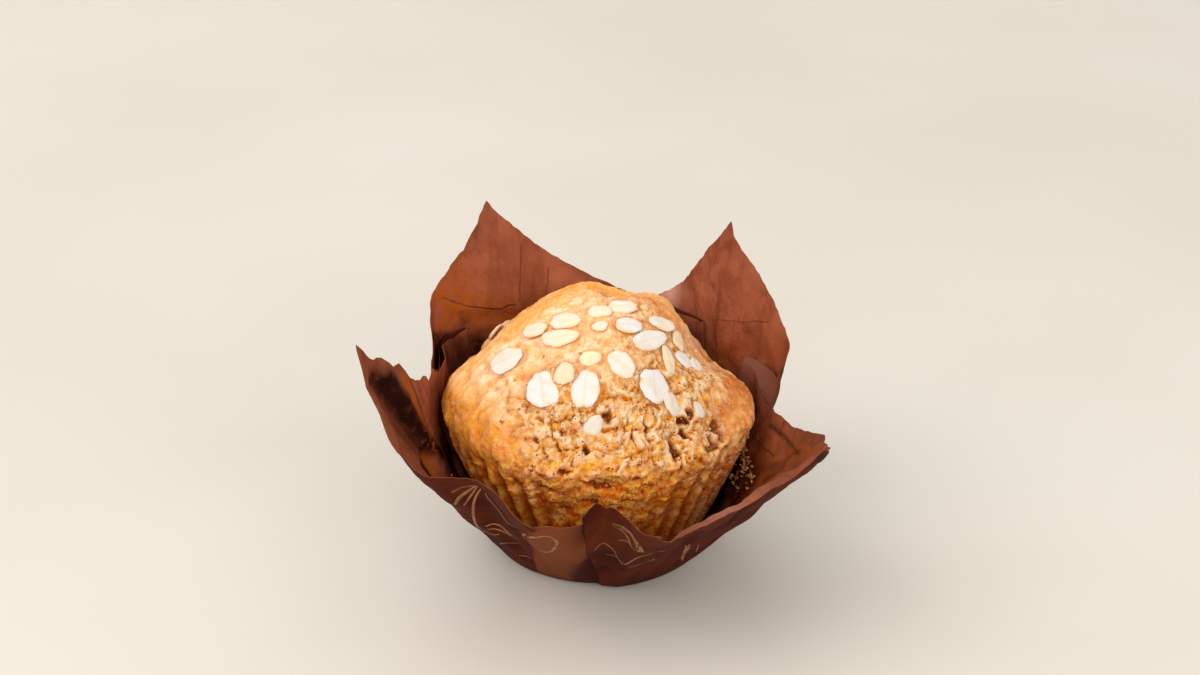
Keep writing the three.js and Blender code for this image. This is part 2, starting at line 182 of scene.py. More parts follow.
def clumps(p, size, seed):
    """Distance to the nearest and second of scattered points, in cells, and the nearest one's own number."""
    q = p / size
    base = np.floor(q)
    first = np.full(q.shape[:-1], 9.0)
    second = first.copy()
    own = np.zeros_like(first)
    for c in range(27):
        cell = base + np.array([c % 3, (c // 3) % 3, c // 9]) - 1
        x, y, z = cell[..., 0] + seed, cell[..., 1] - seed, cell[..., 2] + 2 * seed
        place = np.stack([lattice(x, y, z), lattice(x + 17, y, z), lattice(x, y + 31, z)], -1)
        d = np.linalg.norm(cell + 0.5 + 0.45 * place - q, axis=-1)
        closer = d < first
        second = np.where(closer, first, np.minimum(second, d))
        own = np.where(closer, lattice(x + 5, y + 9, z), own)
        first = np.where(closer, d, first)
    return first, second, own


def grid_normals(grid, closed=True):
    """Outward normals of a grid of points: rows run outwards or up, columns go round."""
    if closed:
        across = np.roll(grid, -1, 1) - np.roll(grid, 1, 1)
    else:
        across = np.gradient(grid, axis=1)
    along = np.gradient(grid, axis=0)
    normal = np.cross(across, along)
    return normal / np.maximum(np.linalg.norm(normal, axis=-1, keepdims=True), 1e-9)


def grid_faces(rows, columns, start=0):
    """Quads over a closed grid, facing out."""
    i, j = np.meshgrid(np.arange(rows - 1), np.arange(columns), indexing="ij")
    k = (j + 1) % columns
    quads = np.stack([i * columns + j, i * columns + k, (i + 1) * columns + k, (i + 1) * columns + j], -1)
    return quads.reshape(-1, 4) + start


# ---- the muffin's surface ----
def station(u):
    last = len(STATIONS) - 1
    at = np.clip(np.asarray(u, float), 0, 1) * last
    i = np.minimum(np.floor(at).astype(int), last - 1)
    t = (at - i)[..., None]
    a, b, c, d = (STATIONS[np.clip(i + k, 0, last)] for k in (-1, 0, 1, 2))
    return through(a, b, c, d, t)


def crust_point(azimuth, u):
    azimuth, u = np.broadcast_arrays(np.asarray(azimuth, float), np.asarray(u, float))
    row = station(u)
    z, radii = row[..., 0], row[..., 1:]
    at = (azimuth % 360) / 90
    k = np.floor(at).astype(int) % 4
    low = np.take_along_axis(radii, k[..., None], -1)[..., 0]
    high = np.take_along_axis(radii, ((k + 1) % 4)[..., None], -1)[..., 0]
    r = mix(low, high, smooth(at - np.floor(at)))
    shift = smooth((z - 40) / 26)
    a = np.radians(azimuth)
    return np.stack([r * np.cos(a) + APEX[0] * shift, r * np.sin(a) + APEX[1] * shift, z], -1)


def relief(p, azimuth):
    rise = np.zeros(p.shape[:-1])
    for x, y, z, reach, by in LUMPS:
        rise += by * np.exp(-np.sum((p - [x, y, z]) ** 2, -1) / reach ** 2)
    front = smooth((10 - p[..., 1]) / 30)
    rough = 0.45 + 0.55 * front * smooth((p[..., 2] - 28) / 10)
    rise += rough * (0.9 * noise(p, 9) + 0.5 * noise(p, 4.7)) * smooth((p[..., 2] - 6) / 20)
    ribbed = smooth((p[..., 2] - 3) / 6) * (1 - smooth((p[..., 2] - 30) / 7))
    faint = 1 - 0.45 * near(azimuth, 275, 50)
    return rise + FLUTE_DEPTH * ribbed * faint * np.cos(np.radians(FLUTES * azimuth))


def crust_with_relief(azimuth, u):
    p = crust_point(azimuth, u)
    azimuth, u = np.broadcast_arrays(np.asarray(azimuth, float), np.asarray(u, float))
    outward = np.stack([p[..., 0], p[..., 1], np.where(u < 0.42, 0, 0.9 * (p[..., 2] - 34))], -1)
    outward /= np.maximum(np.linalg.norm(outward, axis=-1, keepdims=True), 1e-9)
    return p + outward * relief(p, azimuth)[..., None]


def station_of(height):
    low, high = 0.0, 1.0
    for _ in range(30):
        middle = (low + high) / 2
        if station(middle)[0] < height:
            low = middle
        else:
            high = middle
    return low


def flake_frame(flake):
    """Where an oat flake lies: its middle on the crust and its three directions."""
    azimuth, height, _, _, turn, tilt = flake
    u = station_of(height)
    at = crust_with_relief(azimuth, u)
    along = crust_point(azimuth, u + 0.01) - crust_point(azimuth, u - 0.01)
    across = crust_point(azimuth + 1, u) - crust_point(azimuth - 1, u)
    across = across / np.linalg.norm(across)
    normal = np.cross(across, along)
    normal /= np.linalg.norm(normal)
    up = np.cross(normal, across)
    c, s = math.cos(math.radians(turn)), math.sin(math.radians(turn))
    side = c * across + s * up
    high = -s * across + c * up
    c, s = math.cos(math.radians(tilt)), math.sin(math.radians(tilt))
    return at, side, c * high + s * normal, -s * high + c * normal


# ---- the paper's surface ----
# Lips: azimuth, half width, length of the strip along the edge, change of lean
LIPS = [[296, 22, 4.2, -36], [126, 9, 12, -5], [41, 8, 10, 5]]

# Small tears of the edge: sheet azimuth, half width in degrees, depth
TEARS = [[227.6, 1.1, 5.0], [219.4, 1.5, 2.4], [209.4, 1.3, 3.6], [206, 0.9, 1.2], [347, 1.4, 1.6],
         [141, 0.8, 0.8], [320.6, 3.4, 2.2]]

# Edges rubbed off, or with a minus left standing: sheet azimuth, half width in degrees, depth
RUBBED = [[15, 12, 5.6], [161, 9, 6.2], [267.5, 6, 4.5], [219.2, 3.2, -3.6], [229, 3, -2], [252.8, 3, -3.6],
          [257.5, 3.5, 5], [271.5, 3, 4], [277.8, 3.4, -7.5], [286, 6, -3], [324, 3, 2.5]]

# Folds pressed into the sheet: from and to as sheet azimuth and distance, half width, height
FOLDS = [
    [(221, 91), (216, 56), 3.2, -1.5], [(224, 92), (221, 62), 3.4, 1.5],
    [(229, 96), (226, 70), 3.0, -0.6], [(128.7, 94), (131, 70), 2.6, -0.6],
    [(145, 79), (131, 73.6), 2.0, 0.7], [(124, 90), (123, 66), 1.6, 0.5],
    [(120, 84), (118, 66), 1.4, 0.4], [(136, 100), (139, 74), 2.4, -0.4], [(43, 96), (47, 70), 3.0, -0.6],
    [(35, 88), (36, 68), 2.2, 0.5], [(58, 82), (56, 66), 2.0, 0.5], [(330, 72), (322, 60), 2.6, -0.8],
    [(318, 94), (326, 66), 3.0, 0.9], [(312, 92), (306, 66), 3.0, -0.7],
    [(250, 78), (250.5, 44), 1.8, 0.7], [(253, 77), (256, 50), 3.0, 0.5],
    [(240, 84), (247, 52), 2.6, -0.5], [(292, 79), (300, 56), 2.4, 0.6],
    [(286, 76), (284, 48), 2.0, -0.5], [(303, 88), (309, 62), 2.2, 0.5],
    [(249.8, 81), (247, 40), 7.0, 1.5], [(233, 92), (240, 46), 5.0, 0.8],
    [(292, 80), (288, 42), 6.0, 1.2], [(305, 92), (305, 46), 5.0, 0.8]]


def sheet_edge(phi):
    from_middle = 45 - np.abs((phi % 90) - 45)
    edge = HALF_SHEET / np.cos(np.radians(from_middle))
    for at, half, depth in WORN + RUBBED:
        edge = edge - depth * near(phi, at, half, 1.6)
    for at, half, depth in TEARS:
        edge = edge - depth * np.clip(1 - away(phi, at) / half, 0, 1) ** 0.8
    ragged = np.stack([phi * 1.3, phi * 0, phi * 0], -1)
    return edge - 0.22 * (1 + noise(ragged, 1.0, 5)) - 0.15 * (1 + noise(ragged, 0.37, 9))


def meridian(s, azimuth, tip_lean, tip_share, edge):
    """Radius and height of the wall s along the sheet from its middle."""
    wave = 0
    for at, half, by in WAVES:
        wave = wave + by * near(azimuth, at, half)
    low = around(LEAN_LOW, azimuth) + wave
    high = around(LEAN_HIGH, azimuth) + wave
    tip = mix(high, tip_lean + wave, tip_share)
    r = np.minimum(s, FOOT)
    z = np.zeros_like(s)
    wall = np.maximum(s - FOOT, 0)
    for i in range(WALL_STEPS):
        at = FOOT + wall * (i + 0.5) / WALL_STEPS
        lean = low * smooth((at - FOOT) / BEND)
        lean = lean + (high - low) * smooth((at - SPREAD_FROM) / (SPREAD_TO - SPREAD_FROM))
        lean = lean + (tip - high) * smooth((at - TIP_FROM) / TIP_RUN)
        for place, half, length, by in LIPS:
            share = near(azimuth, place, half, 1.5)
            lean = lean + by * share * smooth((at - edge + length) / (0.5 * length))
        r = r + np.cos(np.radians(lean)) * wall / WALL_STEPS
        z = z + np.sin(np.radians(lean)) * wall / WALL_STEPS
    return r, z


def wall_strips(per_petal):
    """The sheet's strips once round, petal, pleat, petal: one list for each measure."""
    strips = []
    for c in range(4):
        azimuth, tip = CORNERS[c]
        before, after = PLEATS[c], PLEATS[(c + 1) % 4]
        corner = 45 + 90 * c
        last_turn = 360 if c == 3 else 0
        arrive = 0 if before[4] == "before" else 2
        leave = 2 if after[4] == "before" else 0
        for i in range(per_petal + 1):
            f = 2 * i / per_petal - 1
            f *= 0.6 + 0.4 * abs(f)
            turn = before[1] if f < 0 else after[0]
            fold = before[3] if f < 0 else after[2] + last_turn
            layer = mix(arrive, leave, smooth((f + 1) / 2))
            strips.append((corner + f * turn, corner + f * (45 - SEAM), mix(azimuth, fold, abs(f)),
                           layer, layer, 0, tip, smooth(1 - abs(f) * turn / 14), 1 - abs(f)))
        strips.extend(pleat_strips(after, corner, last_turn, leave))
    return np.array(strips, float).T


def pleat_strips(pleat, corner, last_turn, leave):
    """The strips of one pleat: over the first fold, back across, and over the second."""
    step = -1 if leave == 2 else 1
    sheet_from, sheet_to = corner + pleat[0], corner + 90 - pleat[1]
    columns = [(0.02, 1, 45), (0.04, 1, 90), (0.06, 1, 135), (0.09, 1, 180), (0.3, 1, 180), (0.5, 1, 180),
               (0.7, 1, 180), (0.91, -1, 0), (0.94, -1, 45), (0.96, -1, 90), (0.98, -1, 135)]
    strips = []
    for share, sign, angle in columns:
        turned = (1 - math.cos(math.radians(angle))) / 2
        layer = leave + (step if sign < 0 else 0) + step * turned
        if share <= 0.09:
            sheet, fold = share * 3.2, 0
        elif share >= 0.91:
            sheet, fold = 1 - (1 - share) * 3.2, 1
        else:
            fold = (share - 0.09) / 0.82
            sheet = mix(0.288, 0.712, fold)
        sheet = min(max(sheet, 0), 1)
        past_zero = last_turn if pleat[2] < 90 else 0
        strips.append((mix(sheet_from, sheet_to, sheet), corner + 45 - SEAM + 2 * SEAM * sheet,
                       mix(pleat[2], pleat[3], fold) + past_zero, layer, mix(leave, 2 - leave, smooth(sheet)),
                       sign * ROLL * math.sin(math.radians(angle)), 70, 0, 0))
    return strips


def sheet_xy(sheet, along):
    """x and y on the flat sheet, from the columns' sheet azimuths and the distances from the middle."""
    phi = np.radians(sheet) + 0 * along
    return along * np.cos(phi), along * np.sin(phi), phi


def crumple(x, y, s, away_from_pleat):
    """Height of the sheet's wrinkles over its smooth form."""
    flat = np.stack([x, y, 0 * x], -1)
    bent = flat + 2.5 * noise3(flat, 14, 4)
    height = 0.9 * (0.5 - np.abs(noise(bent, 17, 2))) + 0.6 * (0.5 - np.abs(noise(bent, 8.5, 6)))
    height += 0.26 * (0.5 - np.abs(noise(bent, 4.2, 8))) + 0.1 * noise(flat, 2.4, 3)
    rays = np.stack([np.degrees(np.arctan2(y, x)) * 0.9, s * 0.09, 0 * x], -1)
    height += 0.2 * noise(rays, 2.1, 12) + 0.14 * (0.5 - np.abs(noise(rays, 1.0, 15)))
    first, second, own = clumps(bent, 15, 3)
    height += 0.8 * (second - first) * np.sign(own)
    for (a1, s1), (a2, s2), half, rise in FOLDS:
        p, q = np.array(flat_place(a1, s1)), np.array(flat_place(a2, s2))
        run = np.clip(((x - p[0]) * (q - p)[0] + (y - p[1]) * (q - p)[1]) / np.sum((q - p) ** 2), 0, 1)
        d = np.hypot(x - p[0] - run * (q - p)[0], y - p[1] - run * (q - p)[1])
        height += rise * np.clip(1 - d / half, 0, 1)
    free = smooth((s - 46) / 16) * smooth(away_from_pleat * 14)
    return height * (0.12 * smooth((s - 30) / 10) * smooth(away_from_pleat * 14) + 0.88 * free)


def paper_surface(per_petal=104, rows=96):
    """Middle of the sheet: points by row and column, with each point's place on the flat sheet."""
    sheet, foot, edge_at, layer, flat_layer, roll, tip, tip_share, inside = wall_strips(per_petal)
    edge = sheet_edge(sheet)
    t = np.linspace(0, 1, rows)[:, None] ** ROW_CURVE
    s = FOOT + (edge - FOOT) * t
    folded = smooth((s - FOOT - 3) / FOLD_RUN)
    azimuth = mix(foot, edge_at, folded)
    r, z = meridian(s, azimuth, tip + 0 * s, tip_share + 0 * s, edge + 0 * s)
    low = np.radians(around(LEAN_LOW, azimuth))
    opening = smooth((s - FOOT) / 8)
    closed = smooth((s - FOOT - 8) / 10)
    out = LAYER * opening * mix(flat_layer, layer, closed)
    turn = np.radians(azimuth) + roll * closed / np.maximum(r, 1)
    radius = r + out * np.sin(low)
    wall = np.stack([radius * np.cos(turn), radius * np.sin(turn), z - out * np.cos(low) * opening], -1)
    wrinkle = crumple(*sheet_xy(sheet, s)[:2], s, inside + 0 * s)
    gathers = 0.3 * np.cos(np.radians(FLUTES * azimuth)) * smooth((wall[..., 2] - 3) / 6)
    gathers *= 1 - smooth((wall[..., 2] - 27) / 9)
    wall = wall + grid_normals(wall) * (wrinkle + gathers)[..., None]
    a = np.radians(foot)
    rings = [np.stack([ring * np.cos(a), ring * np.sin(a), 0 * a], -1) for ring in FOOT_RINGS]
    grid = np.concatenate([np.array(rings), wall])
    grid[..., 2] += SHEET_THICK / 2
    along = np.concatenate([np.repeat([[ring] for ring in FOOT_RINGS], s.shape[1], 1), s])
    return grid, sheet, edge, along


# ---- node trees ----
class Wire:
    """One output of a node, which takes part in Python arithmetic."""

    def __init__(self, graph, node, out=0):
        self.graph = graph
        self.made = node
        self.socket = node.outputs[out] if node.outputs else None

    def out(self, name):
        return Wire(self.graph, self.made, name)

    def math(self, operation, *others):
        return self.graph.math(operation, self, *others)

    def __add__(self, other):
        return self.math("ADD", other)

    __radd__ = __add__

    def __mul__(self, other):
        return self.math("MULTIPLY", other)

    __rmul__ = __mul__

    def __sub__(self, other):
        return self.math("SUBTRACT", other)

    def __rsub__(self, other):
        return self.graph.math("SUBTRACT", other, self)

    def __neg__(self):
        return self * -1

    def between(self, low, high):
        """0 below low, 1 above high, smooth in between."""
        return self.graph.node("ShaderNodeMapRange", {"interpolation_type": "SMOOTHSTEP"},
                               {"Value": self, "From Min": low, "From Max": high})


class Graph:
    """Builds one node tree."""

    def __init__(self, tree):
        self.tree = tree
        tree.nodes.clear()

    def node(self, kind, settings=None, sockets=None, out=0):
        made = self.tree.nodes.new(kind)
        for name, value in (settings or {}).items():
            setattr(made, name, value)
        for name, value in (sockets or {}).items():
            if isinstance(value, Wire):
                self.tree.links.new(value.socket, made.inputs[name])
            else:
                made.inputs[name].default_value = value
        return Wire(self, made, out)

    def math(self, operation, *values):
        return self.node("ShaderNodeMath", {"operation": operation}, dict(enumerate(values)))

    def blend(self, share, first, second):
        """One colour over another."""
        return self.node("ShaderNodeMix", {"data_type": "RGBA"}, {0: share, 6: first, 7: second}, 2)

    def coats(self, colour, *coats):
        """Coats over a colour, in order: each its share, then red, green and blue."""
        for share, *screen in coats:
            colour = self.blend(share, colour, shade(*screen))
        return colour

    def place(self):
        return self.node("ShaderNodeTexCoord", out="Object")

    def value(self, name):
        return self.node("ShaderNodeAttribute", {"attribute_name": name}, out="Fac")

    def all_values(self, names):
        return [self.value(name) for name in names.split()]

    def vector(self, name):
        return self.node("ShaderNodeAttribute", {"attribute_name": name}, out="Vector")

    def line(self, place, start, end, half):
        """1 on the line between two points, in metres, and 0 at half its width away."""
        long = sum((e - b) ** 2 for b, e in zip(start, end)) ** 0.5
        along = [(e - b) / long for b, e in zip(start, end)]
        parts = self.node("ShaderNodeSeparateXYZ", None, {"Vector": place})
        x, y = parts.out("X") - start[0], parts.out("Y") - start[1]
        run = x * along[0] + y * along[1]
        beyond = self.math("MAXIMUM", self.math("MAXIMUM", -run, run - long), 0)
        aside = x * along[1] - y * along[0]
        return self.math("SQRT", aside * aside + beyond * beyond).between(half, 0)

    def grain(self, place, size, detail=2.0, rough=0.5, twist=0.0):
        """Noise about 0.5 with features of a size in millimetres."""
        return self.node("ShaderNodeTexNoise", None, {
            "Vector": place, "Scale": 1000 / size, "Detail": detail, "Roughness": rough, "Distortion": twist})

    def cells(self, place, size):
        return self.node("ShaderNodeTexVoronoi", {"feature": "F1"}, {"Vector": place, "Scale": 1000 / size})

    def bump(self, height, distance, strength=1.0, normal=None):
        sockets = {"Height": height, "Distance": distance / 1000, "Strength": strength}
        if normal is not None:
            sockets["Normal"] = normal
        return self.node("ShaderNodeBump", None, sockets)

    def surface(self, sockets):
        skin = self.node("ShaderNodeBsdfPrincipled", None, sockets)
        self.node("ShaderNodeOutputMaterial", None, {"Surface": skin})


def shade(red, green, blue):
    """A screen colour of 0 to 255 as the renderer counts light."""
    def linear(c):
        c /= 255
        return c / 12.92 if c <= 0.04045 else ((c + 0.055) / 1.055) ** 2.4
    return (linear(red), linear(green), linear(blue), 1.0)


def new_material(name):
    material = bpy.data.materials.new(name)
    material.use_nodes = True
    return material, Graph(material.node_tree)


# ---- finishes ----
def baked_crumb_material():
    material, g = new_material("baked_crumb")
    place = g.place()
    coarse, hollow, raised, chunk = g.all_values("coarse hollow raised chunk")
    low, brown, darker = g.all_values("low brown right")
    patch = g.grain(place, 7, 3, 0.6)
    small = g.grain(place, 2.4, 3, 0.6)
    tiny = g.grain(place, 1.1, 3, 0.6)
    speck = g.grain(place, 0.7, 2, 0.6)

    crust = g.blend(patch.between(0.35, 0.66), shade(248, 214, 170), shade(242, 180, 106))
    crust = g.coats(crust, (small.between(0.5, 0.62) * 0.75, 248, 228, 204),
                    (small.between(0.48, 0.36) * 0.7, 234, 152, 64))
    # browner crust; towards the right it is painted darker, as painted shade
    gold = g.blend(darker, shade(248, 160, 48), shade(204, 104, 14))
    crust = g.blend(brown * (0.3 + 1.1 * small.between(0.34, 0.6)), crust, gold)
    scorched = brown.between(0.6, 1.0) * tiny.between(0.4, 0.58) * (0.45 + 0.35 * darker)
    # painted shade in the hollows and a painted highlight on the raised tops
    crust = g.coats(crust, (scorched, 196, 84, 4), (hollow * 0.9, 206, 100, 10),
                    (raised * (1 - brown) * 0.45, 250, 230, 200))

    crumb = g.blend(chunk.between(0.25, 0.75), shade(206, 142, 58), shade(226, 190, 142))
    crumb = g.coats(crumb, (patch.between(0.5, 0.6) * 0.75, 204, 152, 108),
                    (small.between(0.52, 0.58) * 0.9, 228, 150, 24),
                    (tiny.between(0.5, 0.36) * 0.7, 172, 100, 38),
                    # painted highlight on the tops of the lumps, painted shade in the hollows
                    (raised * (0.25 + 0.9 * small), 238, 216, 184),
                    (hollow.between(0.04, 0.45), 172, 90, 12),
                    (hollow.between(0.4, 0.95), 86, 30, 2))

    baked = g.blend(small.between(0.4, 0.6), shade(226, 116, 4), shade(250, 184, 70))
    baked = g.coats(baked, (patch.between(0.56, 0.66) * 0.5, 240, 200, 136),
                    (tiny.between(0.46, 0.34) * 0.7, 190, 84, 0),
                    # painted shade in the hollows
                    (hollow.between(0.15, 0.8), 154, 60, 2))

    bran = g.cells(place, 1.7)
    freckle = bran.between(0.2, 0.1) * g.grain(place, 3.3).between(0.48, 0.6) * (0.25 + 0.75 * coarse)
    colour = g.blend(coarse, crust, crumb)
    colour = g.blend(low * (0.75 + 0.5 * patch), colour, baked)
    # low on the right, painted light
    colour = g.coats(colour, (low * darker * small.between(0.4, 0.56) * 0.8, 246, 196, 140),
                     # painted shade in the flutes' grooves, less on the right
                     (g.value("groove") * low * (0.8 - 0.35 * darker), 170, 74, 4),
                     # painted shade round each flake's edge, over crust that is a little browner there
                     (g.value("beside") * small.between(0.42, 0.62) * 0.75, 208, 124, 44),
                     (freckle, 88, 36, 8),
                     (speck.between(0.6, 0.72) * 0.4 * (1 - low), 252, 232, 192))

    fine = g.bump(speck, 0.3, 0.3 + 0.35 * coarse)
    pits = g.cells(place, 1.0).between(0.0, 0.5)
    fine = g.bump(pits, 0.25, 0.15 + 0.3 * coarse, fine)
    gloss = 0.72 - 0.14 * (1 - coarse)
    g.surface({"Base Color": colour, "Roughness": gloss, "Normal": fine, "Specular IOR Level": 0.14,
               "Subsurface Weight": 0.12, "Subsurface Radius": (1.0, 0.55, 0.25), "Subsurface Scale": 0.0012})
    return material


def oat_material():
    material, g = new_material("rolled_oat")
    place = g.place()
    across, rim, tone, sunk, veil = g.all_values("across rim tone sunk veil")
    cloud = g.grain(place, 3.2, 3, 0.6)
    fibre = g.grain(place, 0.7, 3, 0.65)
    colour = g.blend(tone, shade(220, 216, 214), shade(232, 206, 168))
    colour = g.coats(colour, (cloud.between(0.46, 0.66) * 0.5, 224, 200, 168),
                     (across.between(0.2, 0.0) * 0.3, 216, 188, 152),
                     (rim * cloud.between(0.44, 0.62) * 0.75, 222, 170, 108),
                     (sunk * 0.8, 216, 204, 186),
                     (veil * (0.35 + 0.9 * cloud.between(0.4, 0.62)), 244, 216, 176),
                     (veil * rim * 0.9, 236, 190, 132),
                     (fibre.between(0.6, 0.72) * 0.35, 244, 242, 240))
    normal = g.bump(fibre, 0.16, 0.5)
    g.surface({"Base Color": colour, "Roughness": 0.62 + 0.2 * cloud, "Normal": normal,
               "Specular IOR Level": 0.4, "Subsurface Weight": 0.1,
               "Subsurface Radius": (1.0, 0.8, 0.6), "Subsurface Scale": 0.001})
    return material


def loose_crumb_material():
    material, g = new_material("loose_crumb")
    place = g.place()
    colour = g.blend(g.grain(place, 3.0, 2).between(0.42, 0.58), shade(204, 156, 96), shade(170, 92, 34))
    colour = g.coats(colour, (g.grain(place, 1.1, 2).between(0.5, 0.65) * 0.6, 230, 196, 146))
    g.surface({"Base Color": colour, "Roughness": 0.9, "Normal": g.bump(g.grain(place, 0.5, 2), 0.15, 0.6),
               "Specular IOR Level": 0.15})
    return material


def sheet_wander(g, sheet):
    """The flat sheet's own place, shaken a little so that lines on it aren't ruled."""
    shake = g.node("ShaderNodeTexNoise", None, {"Vector": sheet, "Scale": 320, "Detail": 2.0}, "Color")
    moved = g.node("ShaderNodeVectorMath", {"operation": "MULTIPLY_ADD"},
                   {0: shake, 1: (0.0012, 0.0012, 0), 2: sheet})
    return g.node("ShaderNodeVectorMath", {"operation": "SUBTRACT"}, {0: moved, 1: (0.0006, 0.0006, 0)})


def paper_material():
    material, g = new_material("brown_paper")
    sheet = g.vector("flat")
    outer, pale, grease, burnt, worn, faded, warm = g.all_values("outer pale grease burnt worn faded warm")
    cloud = g.grain(sheet, 16, 4, 0.6)
    mottle = g.grain(sheet, 4.5, 4, 0.65)
    fibre = g.grain(sheet, 0.7, 3, 0.7)
    rays = g.grain(g.vector("rays"), 2.2, 3, 0.6)
    fleck = g.grain(sheet, 1.6, 3, 0.7)

    inner = g.blend(cloud.between(0.36, 0.64), shade(128, 66, 42), shade(152, 84, 58))
    inner = g.coats(inner, (mottle.between(0.45, 0.66) * 0.6, 112, 54, 33),
                    (rays.between(0.5, 0.68) * 0.5, 98, 44, 26),
                    # grease stains, with a painted highlight along the ridge of the left petal's fold
                    (grease * mottle.between(0.3, 0.52) * (0.4 + fleck.between(0.38, 0.58)), 156, 76, 16),
                    # burnt stains, with painted shade in the fold valleys, beside the muffin and on the flap
                    (burnt * (0.82 + 0.3 * mottle.between(0.34, 0.56)), 38, 10, 4),
                    (grease * burnt * fleck.between(0.52, 0.6), 150, 72, 16),
                    # painted glow of light through the sheet, and the golden chip
                    (faded * (0.5 + 0.6 * rays), 186, 106, 74))
    wander = sheet_wander(g, sheet)
    # painted shade along the creases
    for a1, s1, a2, s2, half, strength in CREASES:
        ends = [[v / 1000 for v in flat_place(a, s)] for a, s in ((a1, s1), (a2, s2))]
        inner = g.coats(inner, (g.line(wander, *ends, half / 1000) * strength, 62, 24, 12))

    outside = g.blend(cloud.between(0.36, 0.64), shade(58, 13, 3), shade(84, 29, 8))
    outside = g.coats(outside, (mottle.between(0.5, 0.7) * 0.4, 46, 11, 3),
                      # painted light on the outer face
                      (warm * (0.75 + 0.4 * cloud), 120, 62, 32))
    # pale patches, the one on the flap painted light
    colour = g.coats(g.blend(outer, inner, outside), (pale * (0.6 + 0.5 * mottle), 206, 154, 138),
                     # edge wear with a painted highlight along the rim
                     (worn * 0.2, 150, 92, 66))
    crinkle = g.grain(sheet, 3.0, 3, 0.6, 1.2)
    normal = g.bump(fibre, 0.06, 0.5)
    normal = g.bump(crinkle, 0.5, 0.6, normal)
    rough = 0.56 + 0.25 * cloud - 0.12 * grease
    g.surface({"Base Color": colour, "Roughness": rough, "Normal": normal, "Specular IOR Level": 0.06})
    return material


def print_material():
    material, g = new_material("gold_print")
    cloud = g.grain(g.place(), 3.4, 3, 0.6)
    colour = g.blend(cloud.between(0.35, 0.65), shade(158, 100, 40), shade(112, 62, 26))
    g.surface({"Base Color": colour, "Roughness": 0.42 + 0.2 * cloud, "Metallic": 0.15,
               "Normal": g.bump(cloud, 0.05, 0.4)})
    return material


def stage_material(name, colour, second):
    material, g = new_material(name)
    cloud = g.grain(g.place(), 260, 3, 0.5)
    g.surface({"Base Color": g.blend(cloud.between(0.35, 0.65), colour, second), "Roughness": 0.6,
               "Normal": g.bump(g.grain(g.place(), 1.5, 2), 0.02, 0.3)})
    return material


# ---- pieces ----
def new_piece(name, points, faces, material, slot, values=None, vectors=None):
    """A smooth mesh piece from points in millimetres, with named values and vectors on its points."""
    data = bpy.data.meshes.new(name)
    data.from_pydata((np.asarray(points) / 1000).tolist(), [], [list(map(int, f)) for f in faces])
    for kind, field, given in (("FLOAT", "value", values), ("FLOAT_VECTOR", "vector", vectors)):
        for key, numbers in (given or {}).items():
            layer = data.attributes.new(key, kind, "POINT")
            layer.data.foreach_set(field, np.asarray(numbers, np.float32).ravel())
    data.validate()
    data.shade_smooth()
    data.materials.append(material)
    piece = bpy.data.objects.new(name, data)
    bpy.context.scene.collection.objects.link(piece)
    if slot:
        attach(piece, "root")
    return piece


def crust_shares():
    """Heights of the rows, close together where the crust shows."""
    u = np.linspace(0, 1, 6001)
    row = station(u)
    z, r = row[:, 0], row[:, 4]
    step = np.hypot(np.diff(z), np.diff(r))
    wanted = np.where(z[1:] < 20, 1.5, np.where(z[1:] < 27, 0.7, 0.42))
    count = np.concatenate([[0], np.cumsum(step / wanted)])
    rows = int(count[-1])
    return np.interp(np.linspace(0, count[-1], rows + 1)[:-1], count, u)


# Holes of the torn crumb: x, y, z, half length along the crust and half height, depth
HOLES = [
    [28.2, -24.5, 38.6, 3.4, 1.0, 2.6], [31.5, -21.5, 36.2, 2.2, 0.8, 2.2],
    [30.1, -19.9, 39.6, 1.2, 2.0, 2.0], [21, -24.1, 45.3, 1.5, 1.0, 2.2],
    [22.5, -22.5, 46.5, 0.9, 0.7, 1.8], [20.5, -26.1, 42.8, 0.8, 1.3, 1.8],
    [18.1, -31.3, 41.2, 1.4, 1.7, 2.4], [20.6, -33.7, 37.6, 1.0, 1.4, 2.0],
    [-3.1, -35.1, 42, 1.2, 0.8, 1.6], [1.4, -28.4, 48.2, 1.5, 1.2, 1.6],
    [-0.7, -37.3, 33.9, 2.6, 1.3, 2.6], [-12.7, -34.9, 31.8, 3.2, 0.8, 1.8],
    [-2.1, -35, 28, 1.8, 1.2, 1.8], [6.5, -35.1, 28.3, 1.5, 1.0, 1.8], [-8.2, -38.5, 38.3, 1.5, 0.6, 1.3],
    [9, -37, 36, 1.2, 0.8, 1.4], [24, -1, 54.5, 2.6, 1.2, 1.8], [-15, -30, 43, 1.0, 0.7, 1.2]]


def column_azimuths(columns):
    """Columns round the muffin, closer together on the torn front."""
    turn = np.arange(columns) * 360 / columns
    return turn + 0.36 * 180 / np.pi * np.sin(np.radians(turn - 104))


def soften(values, reach):
    """The mean of a grid over a square of cells; the grid closes round."""
    total = np.zeros_like(values)
    for step in range(-reach, reach + 1):
        total += np.roll(values, step, 1)
    padded = np.concatenate([np.repeat(total[:1], reach, 0), total, np.repeat(total[-1:], reach, 0)])
    rows = len(values)
    return sum(padded[k:k + rows] for k in range(2 * reach + 1)) / (2 * reach + 1) ** 2


